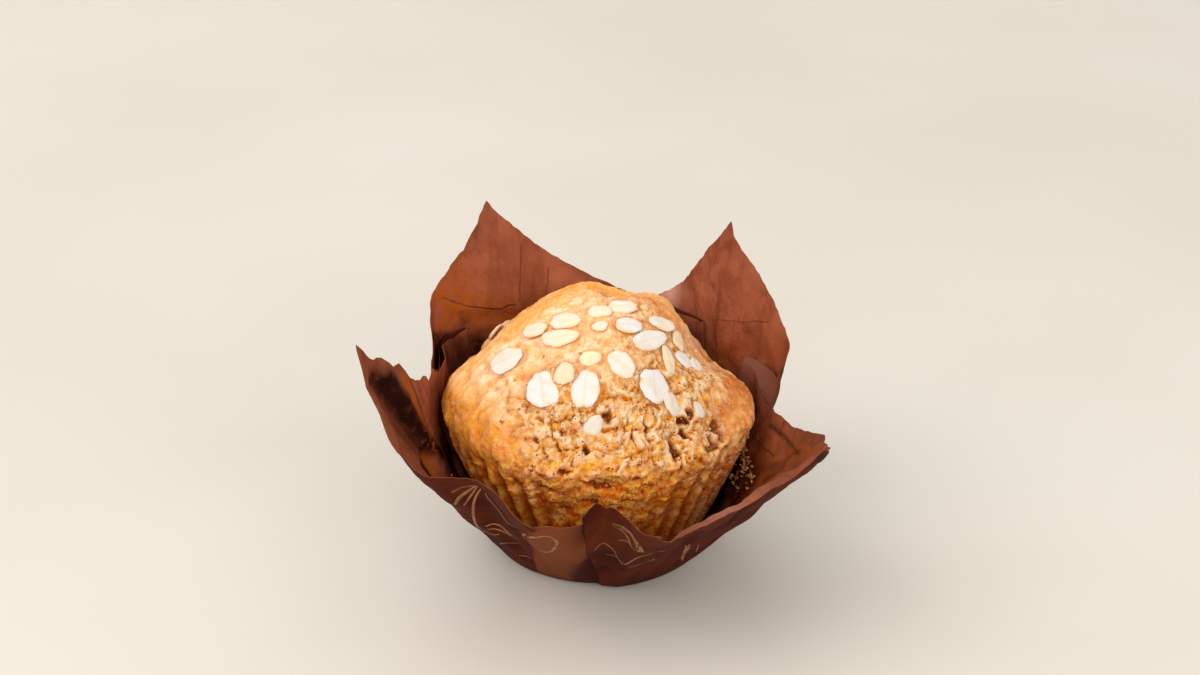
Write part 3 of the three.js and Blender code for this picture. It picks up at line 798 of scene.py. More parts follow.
def torn_crumb(base, coarse):
    """Height of the torn crumb, in lumps of three sizes, creases and pores, and a number for each lump."""
    warp = base * [1, 1, 1.15] + 1.6 * noise3(base, 5, 2) + 0.9 * noise3(base, 2.0, 5)
    warp = warp + 0.35 * noise3(base, 0.9, 15)
    big, big_next, big_own = clumps(warp, 5.4, 3)
    mid, mid_next, mid_own = clumps(warp, 2.7, 11)
    fine, _, fine_own = clumps(warp, 1.35, 23)
    uneven = smooth(0.5 + 1.1 * noise(base, 7, 41))
    rise = 1.0 * (0.42 - big ** 2) + 0.45 * big_own
    rise += (0.5 + 0.5 * uneven) * (0.8 * (0.4 - mid ** 2) + 0.42 * mid_own)
    rise += 0.5 * (0.38 - fine ** 2) + 0.22 * fine_own
    rise += 0.34 * noise(base, 1.9, 17) + 0.3 * noise(base, 1.0, 27)
    torn_open = smooth(0.3 + 1.6 * noise(base, 5, 77))
    rise -= 1.3 * (1 - np.clip((big_next - big) / 0.13, 0, 1)) ** 2 * torn_open
    rise -= 0.6 * (1 - np.clip((mid_next - mid) / 0.16, 0, 1)) ** 2 * smooth(0.35 + 1.5 * noise(base, 4, 87))
    pore, _, pore_own = clumps(warp, 2.4, 37)
    rise = 0.7 * rise + 0.16 * noise(base, 0.75, 47)
    rise -= 0.9 * smooth(1.7 * (1 - pore / 0.16)) * smooth(pore_own / 0.3)
    gentle = 0.5 * noise(base, 4.2, 6) + 0.3 * noise(base, 2.1, 9) + 0.16 * noise(base, 1.1, 19)
    gentle -= 0.8 * smooth((noise(base, 3.4, 51) - 0.12) / 0.3) * smooth(0.5 + 1.5 * noise(base, 12, 52))
    gentle += 0.3 * (0.4 - mid ** 2) - 0.3 * torn_open * (1 - np.clip((big_next - big) / 0.15, 0, 1)) ** 2
    gentle -= 0.7 * smooth(1.7 * (1 - pore / 0.14)) * smooth((pore_own - 0.2) / 0.3)
    return mix(gentle, rise, coarse), 0.5 + 0.3 * mid_own + 0.3 * fine_own


def how_torn(base, azimuth):
    """How torn the crumb is: most at the front and right of the crown."""
    z = base[..., 2]
    wobble = 9 * noise(base, 11, 3) + 4 * noise(base, 4.5, 7)
    coarse = near(azimuth + wobble, 290, 84, 1.7)
    upper = smooth((z + 0.4 * wobble - 53) / 8) * (1 - 0.55 * near(azimuth, 316, 44, 1.4))
    coarse *= 1 - 0.66 * upper
    shoulder = near(azimuth, 345, 22, 1.5) * smooth(1.6 * (1 - np.abs(z - 42) / 9))
    return np.clip(np.maximum(coarse * (1 - 0.8 * shoulder), 0.14 + 0.14 * noise(base, 6, 8)), 0, 1)


def pierced(crag, base):
    """The crags with the holes sunk into them, and how far inside a hole each point is."""
    inside = np.zeros_like(crag)
    wander = base + 0.9 * noise3(base, 2.4, 31) + 0.35 * noise3(base, 1.1, 33)
    for x, y, z, half, high, depth in HOLES:
        d = wander - [x, y, z]
        along = math.hypot(x, y)
        across = (d[..., 0] * -y + d[..., 1] * x) / along
        out = (d[..., 0] * x + d[..., 1] * y) / along
        reach = np.sqrt((across / half) ** 2 + (d[..., 2] / high) ** 2 + (out / (2 * high + 1)) ** 2)
        crag = crag - depth * smooth(1.5 * (1 - reach / 1.5))
        inside = np.maximum(inside, smooth(1.5 * (1 - reach / 1.35)) * min(1, depth / 2))
    return crag, inside


def flake_beds(base):
    """1 under a flake, and 1 close beside one, or half that beside a sunk one."""
    under = np.zeros(base.shape[:-1])
    beside = np.zeros(base.shape[:-1])
    for number, flake in enumerate(FLAKES):
        at, side, high, up = flake_frame(flake)
        d = base - at
        across = np.hypot(d @ side / (flake[2] / 2), d @ high / (flake[3] / 2))
        level = np.abs(d @ up) < 4
        weight = 0.5 if number in SUNK_FLAKES else 1
        under = np.maximum(under, smooth((1.2 - across) / 0.3) * level)
        beside = np.maximum(beside, smooth((1.5 - across) / 0.4) * level * weight)
    return under, beside * (1 - under)


def muffin_cake(material, columns=560):
    shares = crust_shares()
    azimuth = column_azimuths(columns)
    base = crust_with_relief(azimuth[None, :], shares[:, None])
    azimuth = azimuth[None, :] + 0 * base[..., 0]
    x, y, z = (base[..., k] for k in range(3))
    normal = grid_normals(base)

    coarse = how_torn(base, azimuth)
    crag, chunk = torn_crumb(base, coarse)
    crag, hole = pierced(crag, base)
    front = near(azimuth, 274, 34, 1.3)
    sleeve = (1 - smooth((z - 22) / 11)) * (1 - front) + (1 - smooth((z - 10) / 9)) * front
    crag *= 1 - 0.75 * sleeve
    ribbed = smooth((z - 3) / 6) * (1 - smooth((z - 32) / 7))
    ribs = ribbed * np.cos(np.radians(FLUTES * azimuth))
    crag += (0.45 * (1 - front) - 0.48 * front) * FLUTE_DEPTH * ribs
    under, ring = flake_beds(base)
    crag = mix(crag, -0.3 + 0.3 * crag, under)
    crag -= 0.3 * ring * smooth(0.5 + 1.2 * noise(base, 2.5, 61))
    # a little sideways push turns the lumps into small overhangs
    push = noise3(base, 2.4, 14) * (0.6 * coarse * (1 - under) * (1 - sleeve))[..., None]
    skin = base + normal * crag[..., None] + push
    skin[0] = base[0]
    # Painted shade and highlight: the colour is darker in the hollows of the crumb and inside the holes, and
    # lighter on the tops of the lumps.
    dip = soften(crag, 5) - crag
    deep = np.clip(dip / 1.1 + 0.45 * hole, 0, 1)
    raised = np.clip(-dip / 0.7, 0, 1) * (1 - hole)

    rows = len(shares)
    count = rows * columns
    ends = [[0, 0, STATIONS[0][0]], crust_with_relief(0.0, 1.0) + [0, 0, 0.1]]
    points = np.concatenate([skin.reshape(-1, 3), ends])
    faces = grid_faces(rows, columns).tolist()
    for j in range(columns):
        k = (j + 1) % columns
        faces.append((count, k, j))
        faces.append((count + 1, count - columns + j, count - columns + k))

    left = near(azimuth, 205, 75, 1.5)
    # Towards the right the crust is painted darker, as painted shade on the side away from the key lamp; low
    # down on the right it is painted lighter, as painted light.
    right = near(azimuth, 345, 40, 1.5)
    brown = np.clip(smooth(1 - np.abs(z - 38) / 14) * (0.95 * left + 1.15 * right + 0.4), 0, 1)
    brown += 0.25 * noise(base, 8, 5) + 0.6 * smooth((y + 0.25 * np.abs(x) - 1) / 5) * smooth((z - 46) / 6)
    low = smooth((46 + 3.5 * noise(base, 7, 2) - z) / 17)
    # Darker in the grooves between the flutes: painted shade.
    groove = ribbed * (1 - 0.8 * front) * (0.5 - 0.5 * np.cos(np.radians(FLUTES * azimuth)))
    values = {"coarse": coarse, "hollow": deep, "raised": raised, "chunk": chunk, "low": low,
              "brown": np.clip(brown, 0, 1), "groove": groove, "beside": ring, "right": right}
    piece = new_piece("muffin_cake", points, faces, material, "baked_crumb", {
        key: np.concatenate([grid.ravel(), [0, grid.ravel()[-1]]]) for key, grid in values.items()})
    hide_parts("muffin")
    return skin, coarse * (1 - under) * (1 - sleeve)


def oat_flake(flake, number):
    """One flake: a thin oval, grooved along its middle, ragged at one end, following the crust."""
    at, side, high, up = flake_frame(flake)
    length, width = flake[2], flake[3]
    sides, rings = 40, 7
    angle = 2 * np.pi * np.arange(sides) / sides
    seed = np.stack([np.cos(angle), np.sin(angle), 0 * angle + number * 3.7], -1)
    ragged = 1 + 0.13 * noise(seed, 0.7, number) + 0.06 * noise(seed, 0.24, number + 4)
    end = math.pi if number % 2 else 0
    torn = smooth(1 - np.abs((angle - end + np.pi) % (2 * np.pi) - np.pi) / 0.7)
    ragged -= torn * (0.06 + 0.13 * np.abs(noise(seed, 0.13, number + 9)))
    share = np.sin(np.linspace(0, 1, rings + 1)[1:] * np.pi / 2)[:, None]
    x = length / 2 * share * ragged * np.cos(angle)
    y = width / 2 * share * ragged * np.sin(angle) * (1 - 0.14 * np.cos(angle))
    flat = np.stack([x, y, 0 * x + number], -1)
    thick = 0.36 * np.sqrt(np.clip(1 - share ** 5, 0.0, 1)) * (1 + 0.15 * noise(flat, 1.4, 3)) + 0.08
    groove = 0.08 * np.exp(-(y / 0.3) ** 2) * smooth(1.4 * (1 - np.abs(x) / (length / 2)))
    ripple = 0.16 * noise(flat, 2.1, 8) + 0.08 * noise(flat, 0.8, 12)
    bend = -(x / length) ** 2 * 0.9 - (y / width) ** 2 * 0.55 + 0.25 * noise(flat, 5, 21)
    lift = -0.1 if number in SUNK_FLAKES else 0.42 - 0.4 * VEILS.get(number, 0)
    top = lift + bend + thick - groove + ripple
    bottom = lift + bend - thick
    points = [np.stack([x, y, level], -1).reshape(-1, 3) for level in (top, bottom)]
    thickest, dent = 0.44, 0.12
    centre = [[0, 0, lift + thickest - dent], [0, 0, lift - thickest]]
    local = np.concatenate([*points, centre])
    world = at + local[:, :1] * side + local[:, 1:2] * high + local[:, 2:3] * up
    upper = grid_faces(rings, sides)[:, ::-1].tolist()
    lower = grid_faces(rings, sides, rings * sides).tolist()
    rim = (rings - 1) * sides
    middle = 2 * rings * sides
    for j in range(sides):
        k = (j + 1) % sides
        lower.append((middle, j, k))
        lower.append((middle + 1, rings * sides + k, rings * sides + j))
        lower.append((rim + j, rings * sides + rim + j, rings * sides + rim + k, rim + k))
    across = np.concatenate([np.tile(np.abs(y).ravel() / (width / 2), 2), [0, 1]])
    edge = np.concatenate([np.tile((smooth((share - 0.8) / 0.2) + 0 * x).ravel(), 2), [0, 0]])
    return world, upper + lower, across, edge


def oat_flakes(material):
    points, faces = [], []
    values = {"across": [], "rim": [], "tone": [], "sunk": [], "veil": []}
    count = 0
    for number, flake in enumerate(FLAKES):
        p, f, across, rim = oat_flake(flake, number)
        own = across, rim, TONES[number % len(TONES)], number in SUNK_FLAKES, VEILS.get(number, 0)
        points.append(p)
        faces.extend([i + count for i in face] for face in f)
        for numbers, value in zip(values.values(), own):
            numbers.append(np.zeros(len(p)) + value)
        count += len(p)
    piece = new_piece("oat_flakes", np.concatenate(points), faces, material, "baked_crumb",
                      {key: np.concatenate(numbers) for key, numbers in values.items()})
    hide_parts("muffin")


def scatter_tree(crumb, material):
    """Geometry nodes: small crumbs over a surface, by its own amount, size and seed inputs."""
    tree = bpy.data.node_groups.new("crumb_scatter", "GeometryNodeTree")
    for name, kind, way in (("Geometry", "Geometry", "INPUT"), ("Per square metre", "Float", "INPUT"),
                            ("Smallest", "Float", "INPUT"), ("Largest", "Float", "INPUT"),
                            ("Seed", "Int", "INPUT"), ("Geometry", "Geometry", "OUTPUT")):
        tree.interface.new_socket(name=name, in_out=way, socket_type="NodeSocket" + kind)
    g = Graph(tree)
    given = g.node("NodeGroupInput")
    amount = g.node("GeometryNodeInputNamedAttribute", {"data_type": "FLOAT"}, {"Name": "crumbs"},
                    "Attribute")
    density = given.out("Per square metre") * amount
    spread = g.node("GeometryNodeDistributePointsOnFaces", {"distribute_method": "RANDOM"},
                    {"Mesh": given.out("Geometry"), "Density": density, "Seed": given.out("Seed")}, "Points")
    shape = g.node("GeometryNodeObjectInfo", None, {"Object": crumb}, "Geometry")
    size = g.node("FunctionNodeRandomValue", {"data_type": "FLOAT"},
                  {2: given.out("Smallest"), 3: given.out("Largest"), "Seed": given.out("Seed")}, 1)
    squash = g.node("FunctionNodeRandomValue", {"data_type": "FLOAT_VECTOR"},
                    {0: (0.6, 0.6, 0.5), 1: (1.3, 1.2, 1.0), "Seed": 5}, 0)
    scale = g.node("ShaderNodeVectorMath", {"operation": "SCALE"}, {"Vector": squash, "Scale": size})
    turn = g.node("FunctionNodeRandomValue", {"data_type": "FLOAT_VECTOR"},
                  {0: (0, 0, 0), 1: (6.3, 6.3, 6.3), "Seed": 8}, 0)
    placed = g.node("GeometryNodeInstanceOnPoints", None,
                    {"Points": spread, "Instance": shape, "Rotation": turn, "Scale": scale})
    real = g.node("GeometryNodeRealizeInstances", None, {"Geometry": placed})
    done = g.node("GeometryNodeSetMaterial", None, {"Geometry": real, "Material": material})
    g.node("NodeGroupOutput", None, {"Geometry": done})
    return tree


def crumb_shape():
    """One angular crumb, a millimetre across."""
    made = bmesh.new()
    bmesh.ops.create_icosphere(made, subdivisions=1, radius=0.5)
    bmesh.ops.subdivide_edges(made, edges=list(made.edges)[::3], cuts=1)
    for vert in made.verts:
        vert.co *= (1 + 0.28 * float(noise(np.array(vert.co), 0.37, 3))) / 1000
    bmesh.ops.triangulate(made, faces=list(made.faces))
    bmesh.ops.recalc_face_normals(made, faces=list(made.faces))
    data = bpy.data.meshes.new("crumb_shape")
    made.to_mesh(data)
    made.free()
    return bpy.data.objects.new("crumb_shape", data)


def scattered(name, host, tree, inputs, node):
    """Run the scatter on a host and keep the result as a plain mesh."""
    modifier = host.modifiers.new("crumb_scatter", "NODES")
    modifier.node_group = tree
    for item in tree.interface.items_tree:
        if item.in_out == "INPUT" and item.name in inputs:
            modifier[item.identifier] = inputs[item.name]
    seen = bpy.context.evaluated_depsgraph_get()
    data = bpy.data.meshes.new_from_object(host.evaluated_get(seen))
    bpy.data.objects.remove(host)
    data.name = name
    data.shade_smooth()
    piece = bpy.data.objects.new(name, data)
    bpy.context.scene.collection.objects.link(piece)
    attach(piece, "root")
    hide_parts(node)


def host_mesh(name, grid, faces, amount):
    """A bare surface for crumbs to be strewn on, with how many belong at each point."""
    data = bpy.data.meshes.new(name)
    data.from_pydata((grid.reshape(-1, 3) / 1000).tolist(), [], faces.tolist())
    layer = data.attributes.new("crumbs", "FLOAT", "POINT")
    layer.data.foreach_set("value", np.ravel(amount).astype(np.float32))
    host = bpy.data.objects.new(name, data)
    bpy.context.scene.collection.objects.link(host)
    return host


def loose_crumbs(skin, torn, inner, sheet, along):
    """Grit on the torn crumb and crumbs lying on the paper."""
    crumb = crumb_shape()
    material = loose_crumb_material()
    tree = scatter_tree(crumb, material)
    keep = slice(int(np.argmax(skin[:, 0, 2] > 12)), len(skin))
    grid = skin[keep]
    host = host_mesh("torn_host", grid, grid_faces(*grid.shape[:2]), torn[keep] ** 2)
    sizes = {"Per square metre": 1.5e5, "Smallest": 0.35, "Largest": 1.1, "Seed": 4}
    scattered("crumb_grit", host, tree, sizes, "muffin")
    amount = marks(FALLEN, *sheet_xy(sheet, along)[:2])
    amount = np.where(amount < 0.12, 0, amount) * (along < 76)
    above = inner - CRUMB_LIFT * grid_normals(inner)
    host = host_mesh("paper_host", above, grid_faces(*inner.shape[:2])[:, ::-1], amount)
    sizes = {"Per square metre": 2.2e6, "Smallest": 0.45, "Largest": 1.25, "Seed": 9}
    scattered("fallen_crumbs", host, tree, sizes, "wrap")
    bpy.data.objects.remove(crumb)


# Marks on the sheet. Four numbers are a spot: sheet azimuth, distance from the middle, reach, strength.
# Six are a stroke: azimuth and distance of both ends, half width, strength
# Pale patches; the one at sheet azimuth 14, on the turned flap, is painted light on a face that lies in
# shade.
PALE = [[14, 68, 8, 0.3], [68.5, 80, 6.0, 1.1], [66, 75, 3.5, 0.7], [300, 88, 9, 0.2]]
# Grease stains; the strokes along the ridge of the fold on the left petal, near sheet azimuth 217, are a
# painted highlight.
GREASE_AND_LIGHT = [
    [145.2, 83.9, 134.1, 73.7, 5, 0.8], [146, 84, 9, 0.8], [131, 68, 12, 0.7], [156, 72, 10, 0.8],
    [30, 66, 14, 0.35], [43.6, 67.7, 5, 0.5], [31.1, 79.5, 5, 0.4], [212, 68, 209, 60, 3, 0.5],
    [218.2, 84, 217.2, 77.4, 1.2, 1.2], [217.2, 77.4, 217.7, 70.2, 1.2, 1.3],
    [217.7, 70.2, 217.5, 61.6, 1.2, 1.3], [220.3, 65.8, 221.7, 59.8, 1.9, 1.0],
    [221.7, 59.8, 222.8, 53, 2.0, 1.0], [330, 56, 12, 0.8], [338, 50, 8, 1.0], [357, 52, 5, 0.7],
    [350, 50, 5, 0.8], [324, 84, 331, 70, 2.2, 0.5]]
# Burnt stains, and painted shade: the dark valley of the fold on the left petal and the dark paper beside the
# muffin and on the turned flap are shade painted into the colour.
BURNT_AND_SHADE = [
    [223.2, 93, 222.3, 88.9, 2.2, 0.8], [222, 88.9, 221, 80.1, 3.2, 1.0],
    [221, 80.1, 220.2, 71, 3.0, 1.0], [220.2, 71, 219.6, 66.5, 2.8, 1.0],
    [219.2, 66, 214.5, 58, 2.2, 0.95], [224.5, 66, 226, 58, 1.6, 0.9], [208, 56.5, 210.8, 50, 4.5, 1.0],
    [203, 62, 209, 70, 5, 0.45], [226, 82, 225, 72, 2.5, 0.5], [143, 76.8, 1.6, 0.7],
    [153.4, 79.2, 147.3, 74.8, 1.6, 0.9], [151, 75, 141.4, 69.3, 3.2, 0.9], [150, 71, 143, 66, 3.5, 0.85],
    [154, 76, 152, 70, 3, 0.9], [180.9, 74.2, 6, 0.7], [167.4, 72.5, 175, 68.6, 4, 0.7],
    [181.9, 67.8, 177.1, 71.4, 4, 0.6], [120, 60, 10, 0.5], [69.8, 78.3, 68, 77.3, 0.9, 0.9],
    [48.4, 76.1, 45.6, 69.9, 0.8, 0.5], [183, 71, 176, 69, 4, 0.7], [359.3, 51.9, 355.7, 45.9, 4, 0.9],
    [355.7, 45.9, 366.9, 34.6, 6, 0.95], [359.8, 61, 357.3, 55.3, 2.5, 0.9],
    [344.5, 63.9, 327.3, 75.6, 1.0, 0.5], [332.5, 57.7, 328.8, 75, 1.0, 0.45],
    [345, 46, 325, 44, 5, 0.65], [352, 50, 340, 50, 4, 0.6], [336, 57, 331, 66, 1.4, 0.5],
    [325, 74, 20, 0.2], [88, 66, 10, 0.4], [346.5, 49.5, 337, 53.5, 4.0, 0.6],
    [343, 44, 332, 50, 4, 0.55], [331, 57, 326, 61, 1.6, 0.6], [2, 64, 357, 60, 3, 0.6], [8, 63, 5, 0.5],
    [16, 62, 5, 0.4]]
# A painted glow of light shining through the sheet, lighter and redder, on the back petals, and a golden
# crumb chip at sheet azimuth 33.5.
GLOW_AND_CHIP = [
    [130, 88, 15, 0.3], [33.5, 71, 1.8, 1.0], [121.6, 82.3, 6, 0.9], [118, 77, 6, 0.8], [132, 96, 9, 0.3],
    [54, 79, 8, 0.5], [39, 86, 8, 0.4], [32, 80, 6, 0.4]]
# Warm, lighter patches on the outer face, painted light: where that face catches the light on the turned
# flap, the front wall and the panel at the front.
WARM = [
    [250.5, 62, 254, 50, 3.6, 0.85], [251.5, 72, 254, 58, 3.2, 0.8], [284, 66, 9, 0.25],
    [290, 78, 8, 0.2], [15, 69, 9, 0.95], [2, 60, 10, 0.4], [140, 60, 16, 0.4], [80, 60, 16, 0.3],
    [222, 78, 12, 0.2]]
FALLEN = [   # crumbs that lie in the paper
    [358.3, 57.2, 350.4, 52.3, 1.5, 1.2], [350.4, 52.3, 345.6, 51.6, 1.6, 1.1],
    [345.6, 51.6, 339, 53.4, 1.3, 0.6], [335.5, 53.5, 1.5, 0.4], [350, 47, 338, 49, 2.4, 0.22],
    [215, 50, 3, 0.3], [120, 52, 5, 0.2], [60, 55, 4, 0.15]]
CRUMB_LIFT = 0.55             # off the paper, so that no crumb shows on its far side

# Creases as fine dark lines, painted shade along the folds: sheet azimuth and distance of both ends, half
# width, strength
CREASES = [
    [216.6, 85, 216, 77, 0.35, 0.75], [216, 77, 216.3, 70, 0.45, 0.8], [216.3, 70, 216.3, 61, 0.5, 0.8],
    [146.5, 85.3, 142, 80.5, 0.3, 0.6], [142, 80.5, 136.9, 77.3, 0.35, 0.9],
    [136.9, 77.3, 131.5, 76.8, 0.35, 0.9], [128.9, 92.2, 130.4, 77.7, 0.45, 0.5],
    [123.1, 84.6, 124.1, 76.1, 0.4, 0.5], [46.9, 76.5, 33.1, 83, 0.3, 0.5],
    [344.5, 63.9, 327.3, 75.6, 0.4, 0.6], [332.5, 57.7, 328.8, 75, 0.35, 0.5],
    [350, 57, 336, 62, 0.5, 0.6]]

# Where the left edge of the warm panel at the front shows, a facet lit with painted light: distance along the
# sheet, sheet azimuth
PANEL_AT = [30, 36, 44, 60, 72, 80]
PANEL_EDGE = [236.7, 240.5, 244, 247.4, 249.2, 250.5]


def marks(spots, x, y):
    """How strong the marks are at places of the flat sheet."""
    total = 0 * x
    for mark in spots:
        reach, strength = mark[-2:]
        ends = [flat_place(a, s) for a, s in zip(mark[:-2:2], mark[1:-2:2])]
        run_x, run_y = ends[-1][0] - ends[0][0], ends[-1][1] - ends[0][1]
        long = run_x ** 2 + run_y ** 2
        share = np.clip(((x - ends[0][0]) * run_x + (y - ends[0][1]) * run_y) / long, 0, 1) if long else 0
        d2 = (x - ends[0][0] - share * run_x) ** 2 + (y - ends[0][1] - share * run_y) ** 2
        total = np.maximum(total, strength * np.exp(-(d2 / reach ** 2) ** (1.8 if long else 1)))
    return total


def paper_wrap(material):
    grid, sheet, edge, along = paper_surface()
    rows, columns = grid.shape[:2]
    normal = grid_normals(grid)
    normal[:len(FOOT_RINGS) + 1] = [0, 0, -1]
    outer = grid + normal * SHEET_THICK / 2
    inner = grid - normal * SHEET_THICK / 2
    middles = [[0, 0, 0], [0, 0, SHEET_THICK]]
    points = np.concatenate([outer.reshape(-1, 3), inner.reshape(-1, 3), middles])
    far = rows * columns
    faces = grid_faces(rows, columns).tolist() + grid_faces(rows, columns, far)[:, ::-1].tolist()
    rim = (rows - 1) * columns
    for j in range(columns):
        k = (j + 1) % columns
        faces.append((rim + j, rim + k, far + rim + k, far + rim + j))
        faces.append((2 * far, k, j))
        faces.append((2 * far + 1, far + j, far + k))
    x, y, phi = sheet_xy(sheet, along)
    flat = np.stack([x, y, 0 * x], -1) / 1000
    rays = np.stack([phi * 55, along * 0.12, 0 * x], -1) / 1000
    # Lighter along the rim: edge wear, and a painted highlight on the edge of the sheet.
    rim_wear_and_light = np.clip(1 - (edge - along) / 0.6, 0, 1) * (0.5 + 0.5 * noise(flat * 1000, 5, 2))
    # The panel at the front is lighter as painted light on a facet that faces the lamps.
    turned = sheet - np.interp(along, PANEL_AT, PANEL_EDGE) + 0.4 * noise(flat * 1000, 3, 8)
    panel = np.clip(turned / 0.5, 0, 1) * smooth((257 - sheet) / 5) * smooth((along - 26) / 4)

    values = {"pale": marks(PALE, x, y), "grease": marks(GREASE_AND_LIGHT, x, y), "burnt": marks(BURNT_AND_SHADE, x, y),
              "faded": marks(GLOW_AND_CHIP, x, y), "warm": np.maximum(marks(WARM, x, y), 0.95 * panel), "worn": rim_wear_and_light}
    values = {key: np.concatenate([grid.ravel(), grid.ravel(), [0, 0]]) for key, grid in values.items()}
    values["outer"] = np.concatenate([np.ones(far), np.zeros(far), [1, 0]])
    vectors = {key: np.concatenate([grid.reshape(-1, 3)] * 2 + [np.zeros((2, 3))])
               for key, grid in (("flat", flat), ("rays", rays))}
    piece = new_piece("paper_wrap", points, faces, material, "brown_paper", values, vectors)
    piece.data.set_sharp_from_angle(angle=math.radians(50))
    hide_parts("wrap")
    return outer, inner, normal, sheet, edge, along


def sheet_places(outer, normal, sheet, edge, phi, s, lift):
    """Points of the outer face at places of the flat sheet."""
    columns = len(sheet)
    turned = np.where(phi < sheet[0], phi + 360, phi)
    line = np.concatenate([sheet, [sheet[0] + 360]])
    at = np.interp(turned, line, np.arange(columns + 1))
    j = np.minimum(at.astype(int), columns - 1)
    part = at - j
    k = (j + 1) % columns
    rim = mix(edge[j], edge[k], part)
    under = len(FOOT_RINGS)
    t = np.clip((s - FOOT) / (rim - FOOT), 0, 1) ** (1 / ROW_CURVE) * (outer.shape[0] - under - 1) + under
    i = np.minimum(t.astype(int), outer.shape[0] - 2)
    up = (t - i)[:, None]
    part = part[:, None]

    def read(grid):
        return mix(mix(grid[i, j], grid[i, k], part), mix(grid[i + 1, j], grid[i + 1, k], part), up)
    return read(outer) + read(normal) * lift


# One spray of the printed scroll, as strokes through sheet azimuth and distance, with a half width.
# It is printed four times round the sheet.
SPRAY = [
    ([(240.4, 75.4), (238.8, 74.5), (237, 73)], 0.2),
    ([(240.9, 75.6), (238.9, 72.3), (237.4, 70.2), (236.2, 67.6)], 0.38),
    ([(240.9, 75.1), (238.8, 69.9), (237.3, 67)], 0.2),
    ([(241.3, 74.6), (239.6, 69.8), (238.4, 65.9), (236.9, 59.9), (235.5, 53.9), (235.2, 50),
      (238.5, 51.4)], 0.26),
    ([(237.8, 56.3), (239.2, 56.8), (240.3, 55.2), (240.6, 51.2), (242.1, 50.6)], 0.28),
    ([(237.7, 54.9), (238.9, 54.5), (239.6, 52.2), (240.3, 49.1)], 0.2),
    ([(241.5, 72.7), (241.7, 69.1), (242.5, 65.7), (243.4, 61.7), (244.7, 60.6)], 0.15),
    ([(244.8, 54.5), (247.5, 66), (249.7, 72.3), (250.8, 74.6), (251.8, 74.2), (252.2, 71), (251.6, 66.3),
      (250.5, 62), (248, 56)], 0.28),
    ([(236, 38), (237.8, 37.3), (238.7, 35.9)], 0.16),
    ([(232.7, 42.2), (236.8, 45.3), (238.4, 45.2), (240.2, 45.1)], 0.16),
    ([(282.6, 70.4), (284.7, 74.2), (286.1, 73.6), (287.5, 72.3), (288.6, 67.2)], 0.42),
    ([(283.4, 69.6), (284.9, 72.8), (286.2, 72.2), (287.3, 70.6), (288.2, 66.2)], 0.4),
    ([(282.6, 69.7), (284.3, 70.2), (285.7, 68.3), (287.1, 66.2)], 0.42),
    ([(284, 63.6), (285.5, 66.1), (286.5, 66.1), (287.4, 67)], 0.38),
    ([(278.2, 56.6), (279.7, 59.5), (283.2, 58), (284, 53.4), (285.4, 51.4)], 0.2),
    ([(280.9, 50.5), (283.9, 52.4), (286.2, 53.3), (288, 60.2), (290.9, 64), (294, 63.2)], 0.16),
    ([(286.7, 51.8), (290.8, 52.7), (292.8, 58)], 0.14),
    ([(306.9, 40.1), (303.7, 49.6), (301.4, 59.6)], 0.42),
    ([(305.9, 41.5), (302.9, 50.4), (300.6, 59.4)], 0.4),
    ([(309.4, 45.3), (307.4, 52)], 0.2)]

# The turned flap carries no print: sheet azimuth of its middle, half width
BARE = [12, 14]
EDGE_ROOM = 1.2               # between a stroke and the edge of the sheet
FOOT_ROOM = 12                # and between a stroke and the foot
SHORTEST = 8                  # points that a stroke keeps at least
INK = [0.055, -0.02]          # height of the print's top and bottom over the sheet


def scroll_paths():
    """The strokes as lists of sheet x, y and half width, thin at both ends."""
    paths = []
    for quarter in (0, 90, 180, 270):
        for stroke, width in SPRAY:
            if away(stroke[0][0] + quarter, BARE[0]) < BARE[1]:
                continue
            knots = np.array([flat_place(phi + quarter, s) for phi, s in stroke])
            ends = np.concatenate([[2 * knots[0] - knots[1]], knots, [2 * knots[-1] - knots[-2]]])
            line = []
            for k in range(1, len(ends) - 2):
                line.extend(through(*ends[k - 1:k + 3], t) for t in np.linspace(0, 1, 13)[:-1])
            line = np.array(line + [ends[-2]])
            run = np.linspace(0, 1, len(line))
            swell = width * (0.3 + 0.7 * np.sin(math.pi * np.clip(0.04 + 0.92 * run, 0, 1)) ** 0.6)
            paths.append(np.column_stack([line, swell]))
    return paths


def gold_scrolls(material, outer, normal, sheet, edge):
    points, faces = [], []
    count = 0
    for path in scroll_paths():
        reach = np.hypot(path[:, 0], path[:, 1])
        ahead = np.gradient(path[:, :2], axis=0)
        ahead /= np.linalg.norm(ahead, axis=1, keepdims=True)
        side = np.stack([-ahead[:, 1], ahead[:, 0]], -1)
        left = path[:, :2] + side * path[:, 2:]
        right = path[:, :2] - side * path[:, 2:]
        phi = np.degrees(np.arctan2(path[:, 1], path[:, 0])) % 360
        room = np.interp(np.where(phi < sheet[0], phi + 360, phi), sheet, edge) - EDGE_ROOM
        keep = (reach < room) & (reach > FOOT + FOOT_ROOM)
        last = len(keep) if keep.all() else int(np.argmin(keep))
        if last < SHORTEST:
            continue
        left, right = left[:last], right[:last]
        corners = []
        for flat, lift in ((left, INK[0]), (right, INK[0]), (right, INK[1]), (left, INK[1])):
            at, s = np.degrees(np.arctan2(flat[:, 1], flat[:, 0])) % 360, np.hypot(flat[:, 0], flat[:, 1])
            corners.append(sheet_places(outer, normal, sheet, edge, at, s, lift))
        strip = np.stack(corners, 1)
        n = len(strip)
        points.append(strip.reshape(-1, 3))
        for i in range(n - 1):
            for c in range(4):
                d = (c + 1) % 4
                a, b = count + 4 * i, count + 4 * (i + 1)
                faces.append((a + c, b + c, b + d, a + d))
        faces.append((count + 3, count + 2, count + 1, count))
        end = count + 4 * (n - 1)
        faces.append((end, end + 1, end + 2, end + 3))
        count += 4 * n
    piece = new_piece("gold_scrolls", np.concatenate(points), faces, material, "brown_paper")
    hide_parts("wrap")


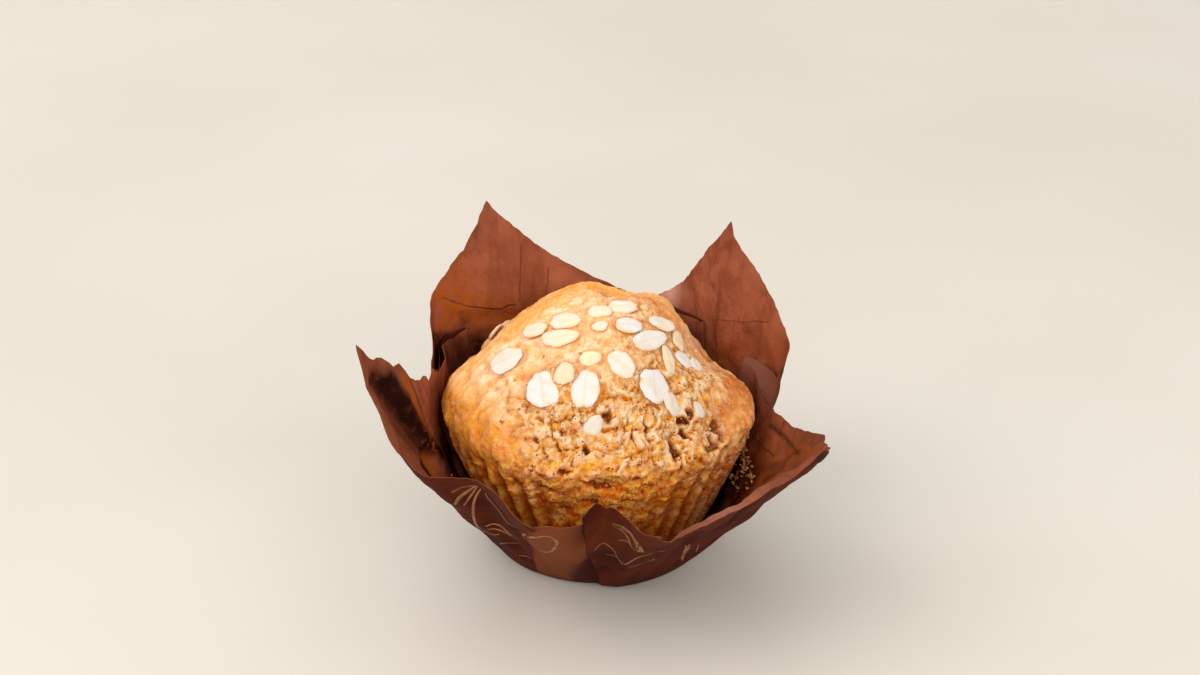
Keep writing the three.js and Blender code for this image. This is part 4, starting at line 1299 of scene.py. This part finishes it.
# ---- the set ----
def stand_on_stage():
    """A pale floor, in metres, that curves up into a wall behind."""
    reach, rise, half_width, top = 1.2, 0.9, 3, 2.6
    turn = np.linspace(0.05, np.pi / 2, 40)
    flat = np.linspace(-reach, reach, 20)
    depth = np.concatenate([flat, reach + rise * np.sin(turn), [reach + rise]])
    height = np.concatenate([0 * flat, rise * (1 - np.cos(turn)), [top]])
    points = [(x * 1000, d * 1000, h * 1000) for d, h in zip(depth, height)
              for x in (-half_width, half_width)]
    faces = [(i, i + 1, i + 3, i + 2) for i in range(0, 2 * len(depth) - 2, 2)]
    paint = stage_material("pale_floor", shade(221, 215, 205), shade(216, 208, 197))
    new_piece("floor", points, faces, paint, None)


def soft_lamp(name, place, aim, size, power, colour):
    light = bpy.data.lights.new(name, "AREA")
    light.shape = "RECTANGLE"
    light.size, light.size_y = size
    light.energy = power
    light.color = colour
    lamp = bpy.data.objects.new(name, light)
    lamp.location = place
    towards = np.array(aim, float) - np.array(place, float)
    lamp.rotation_euler = Vector(towards).to_track_quat("-Z", "Y").to_euler()
    bpy.context.scene.collection.objects.link(lamp)


def light_the_set():
    world = bpy.data.worlds.new("studio")
    bpy.context.scene.world = world
    world.use_nodes = True
    g = Graph(world.node_tree)
    sky = g.node("ShaderNodeBackground", None, {"Color": (1.0, 0.985, 0.955, 1), "Strength": 0.8})
    g.node("ShaderNodeOutputWorld", None, {"Surface": sky})
    soft_lamp("key", (-0.85, -0.45, 0.95), (0, 0, 0.03), (1.1, 1.1), 8.0, (1.0, 0.985, 0.965))
    soft_lamp("front", (0.3, -1.05, 0.5), (0, 0, 0.02), (1.1, 0.5), 6.6, (1.0, 0.99, 0.98))
    soft_lamp("back", (-0.25, 0.95, 1.0), (0, 0, 0.04), (0.9, 0.5), 2.5, (1.0, 0.99, 0.98))
    bpy.context.scene.view_settings.view_transform = "Standard"


def set_camera():
    lens = bpy.data.cameras.new("camera")
    lens.lens = 85
    lens.sensor_width = 36
    eye = bpy.data.objects.new("camera", lens)
    eye.location = (0.00038, -0.6403, 0.35475)
    eye.rotation_euler = (math.radians(65), 0, 0)
    bpy.context.scene.collection.objects.link(eye)
    bpy.context.scene.camera = eye


set_camera()
light_the_set()
stand_on_stage()

skin, torn = muffin_cake(baked_crumb_material())
oat_flakes(oat_material())

outer, inner, paper_normal, sheet, edge, along = paper_wrap(paper_material())
loose_crumbs(skin, torn, inner, sheet, along)
gold_scrolls(print_material(), outer, paper_normal, sheet, edge)
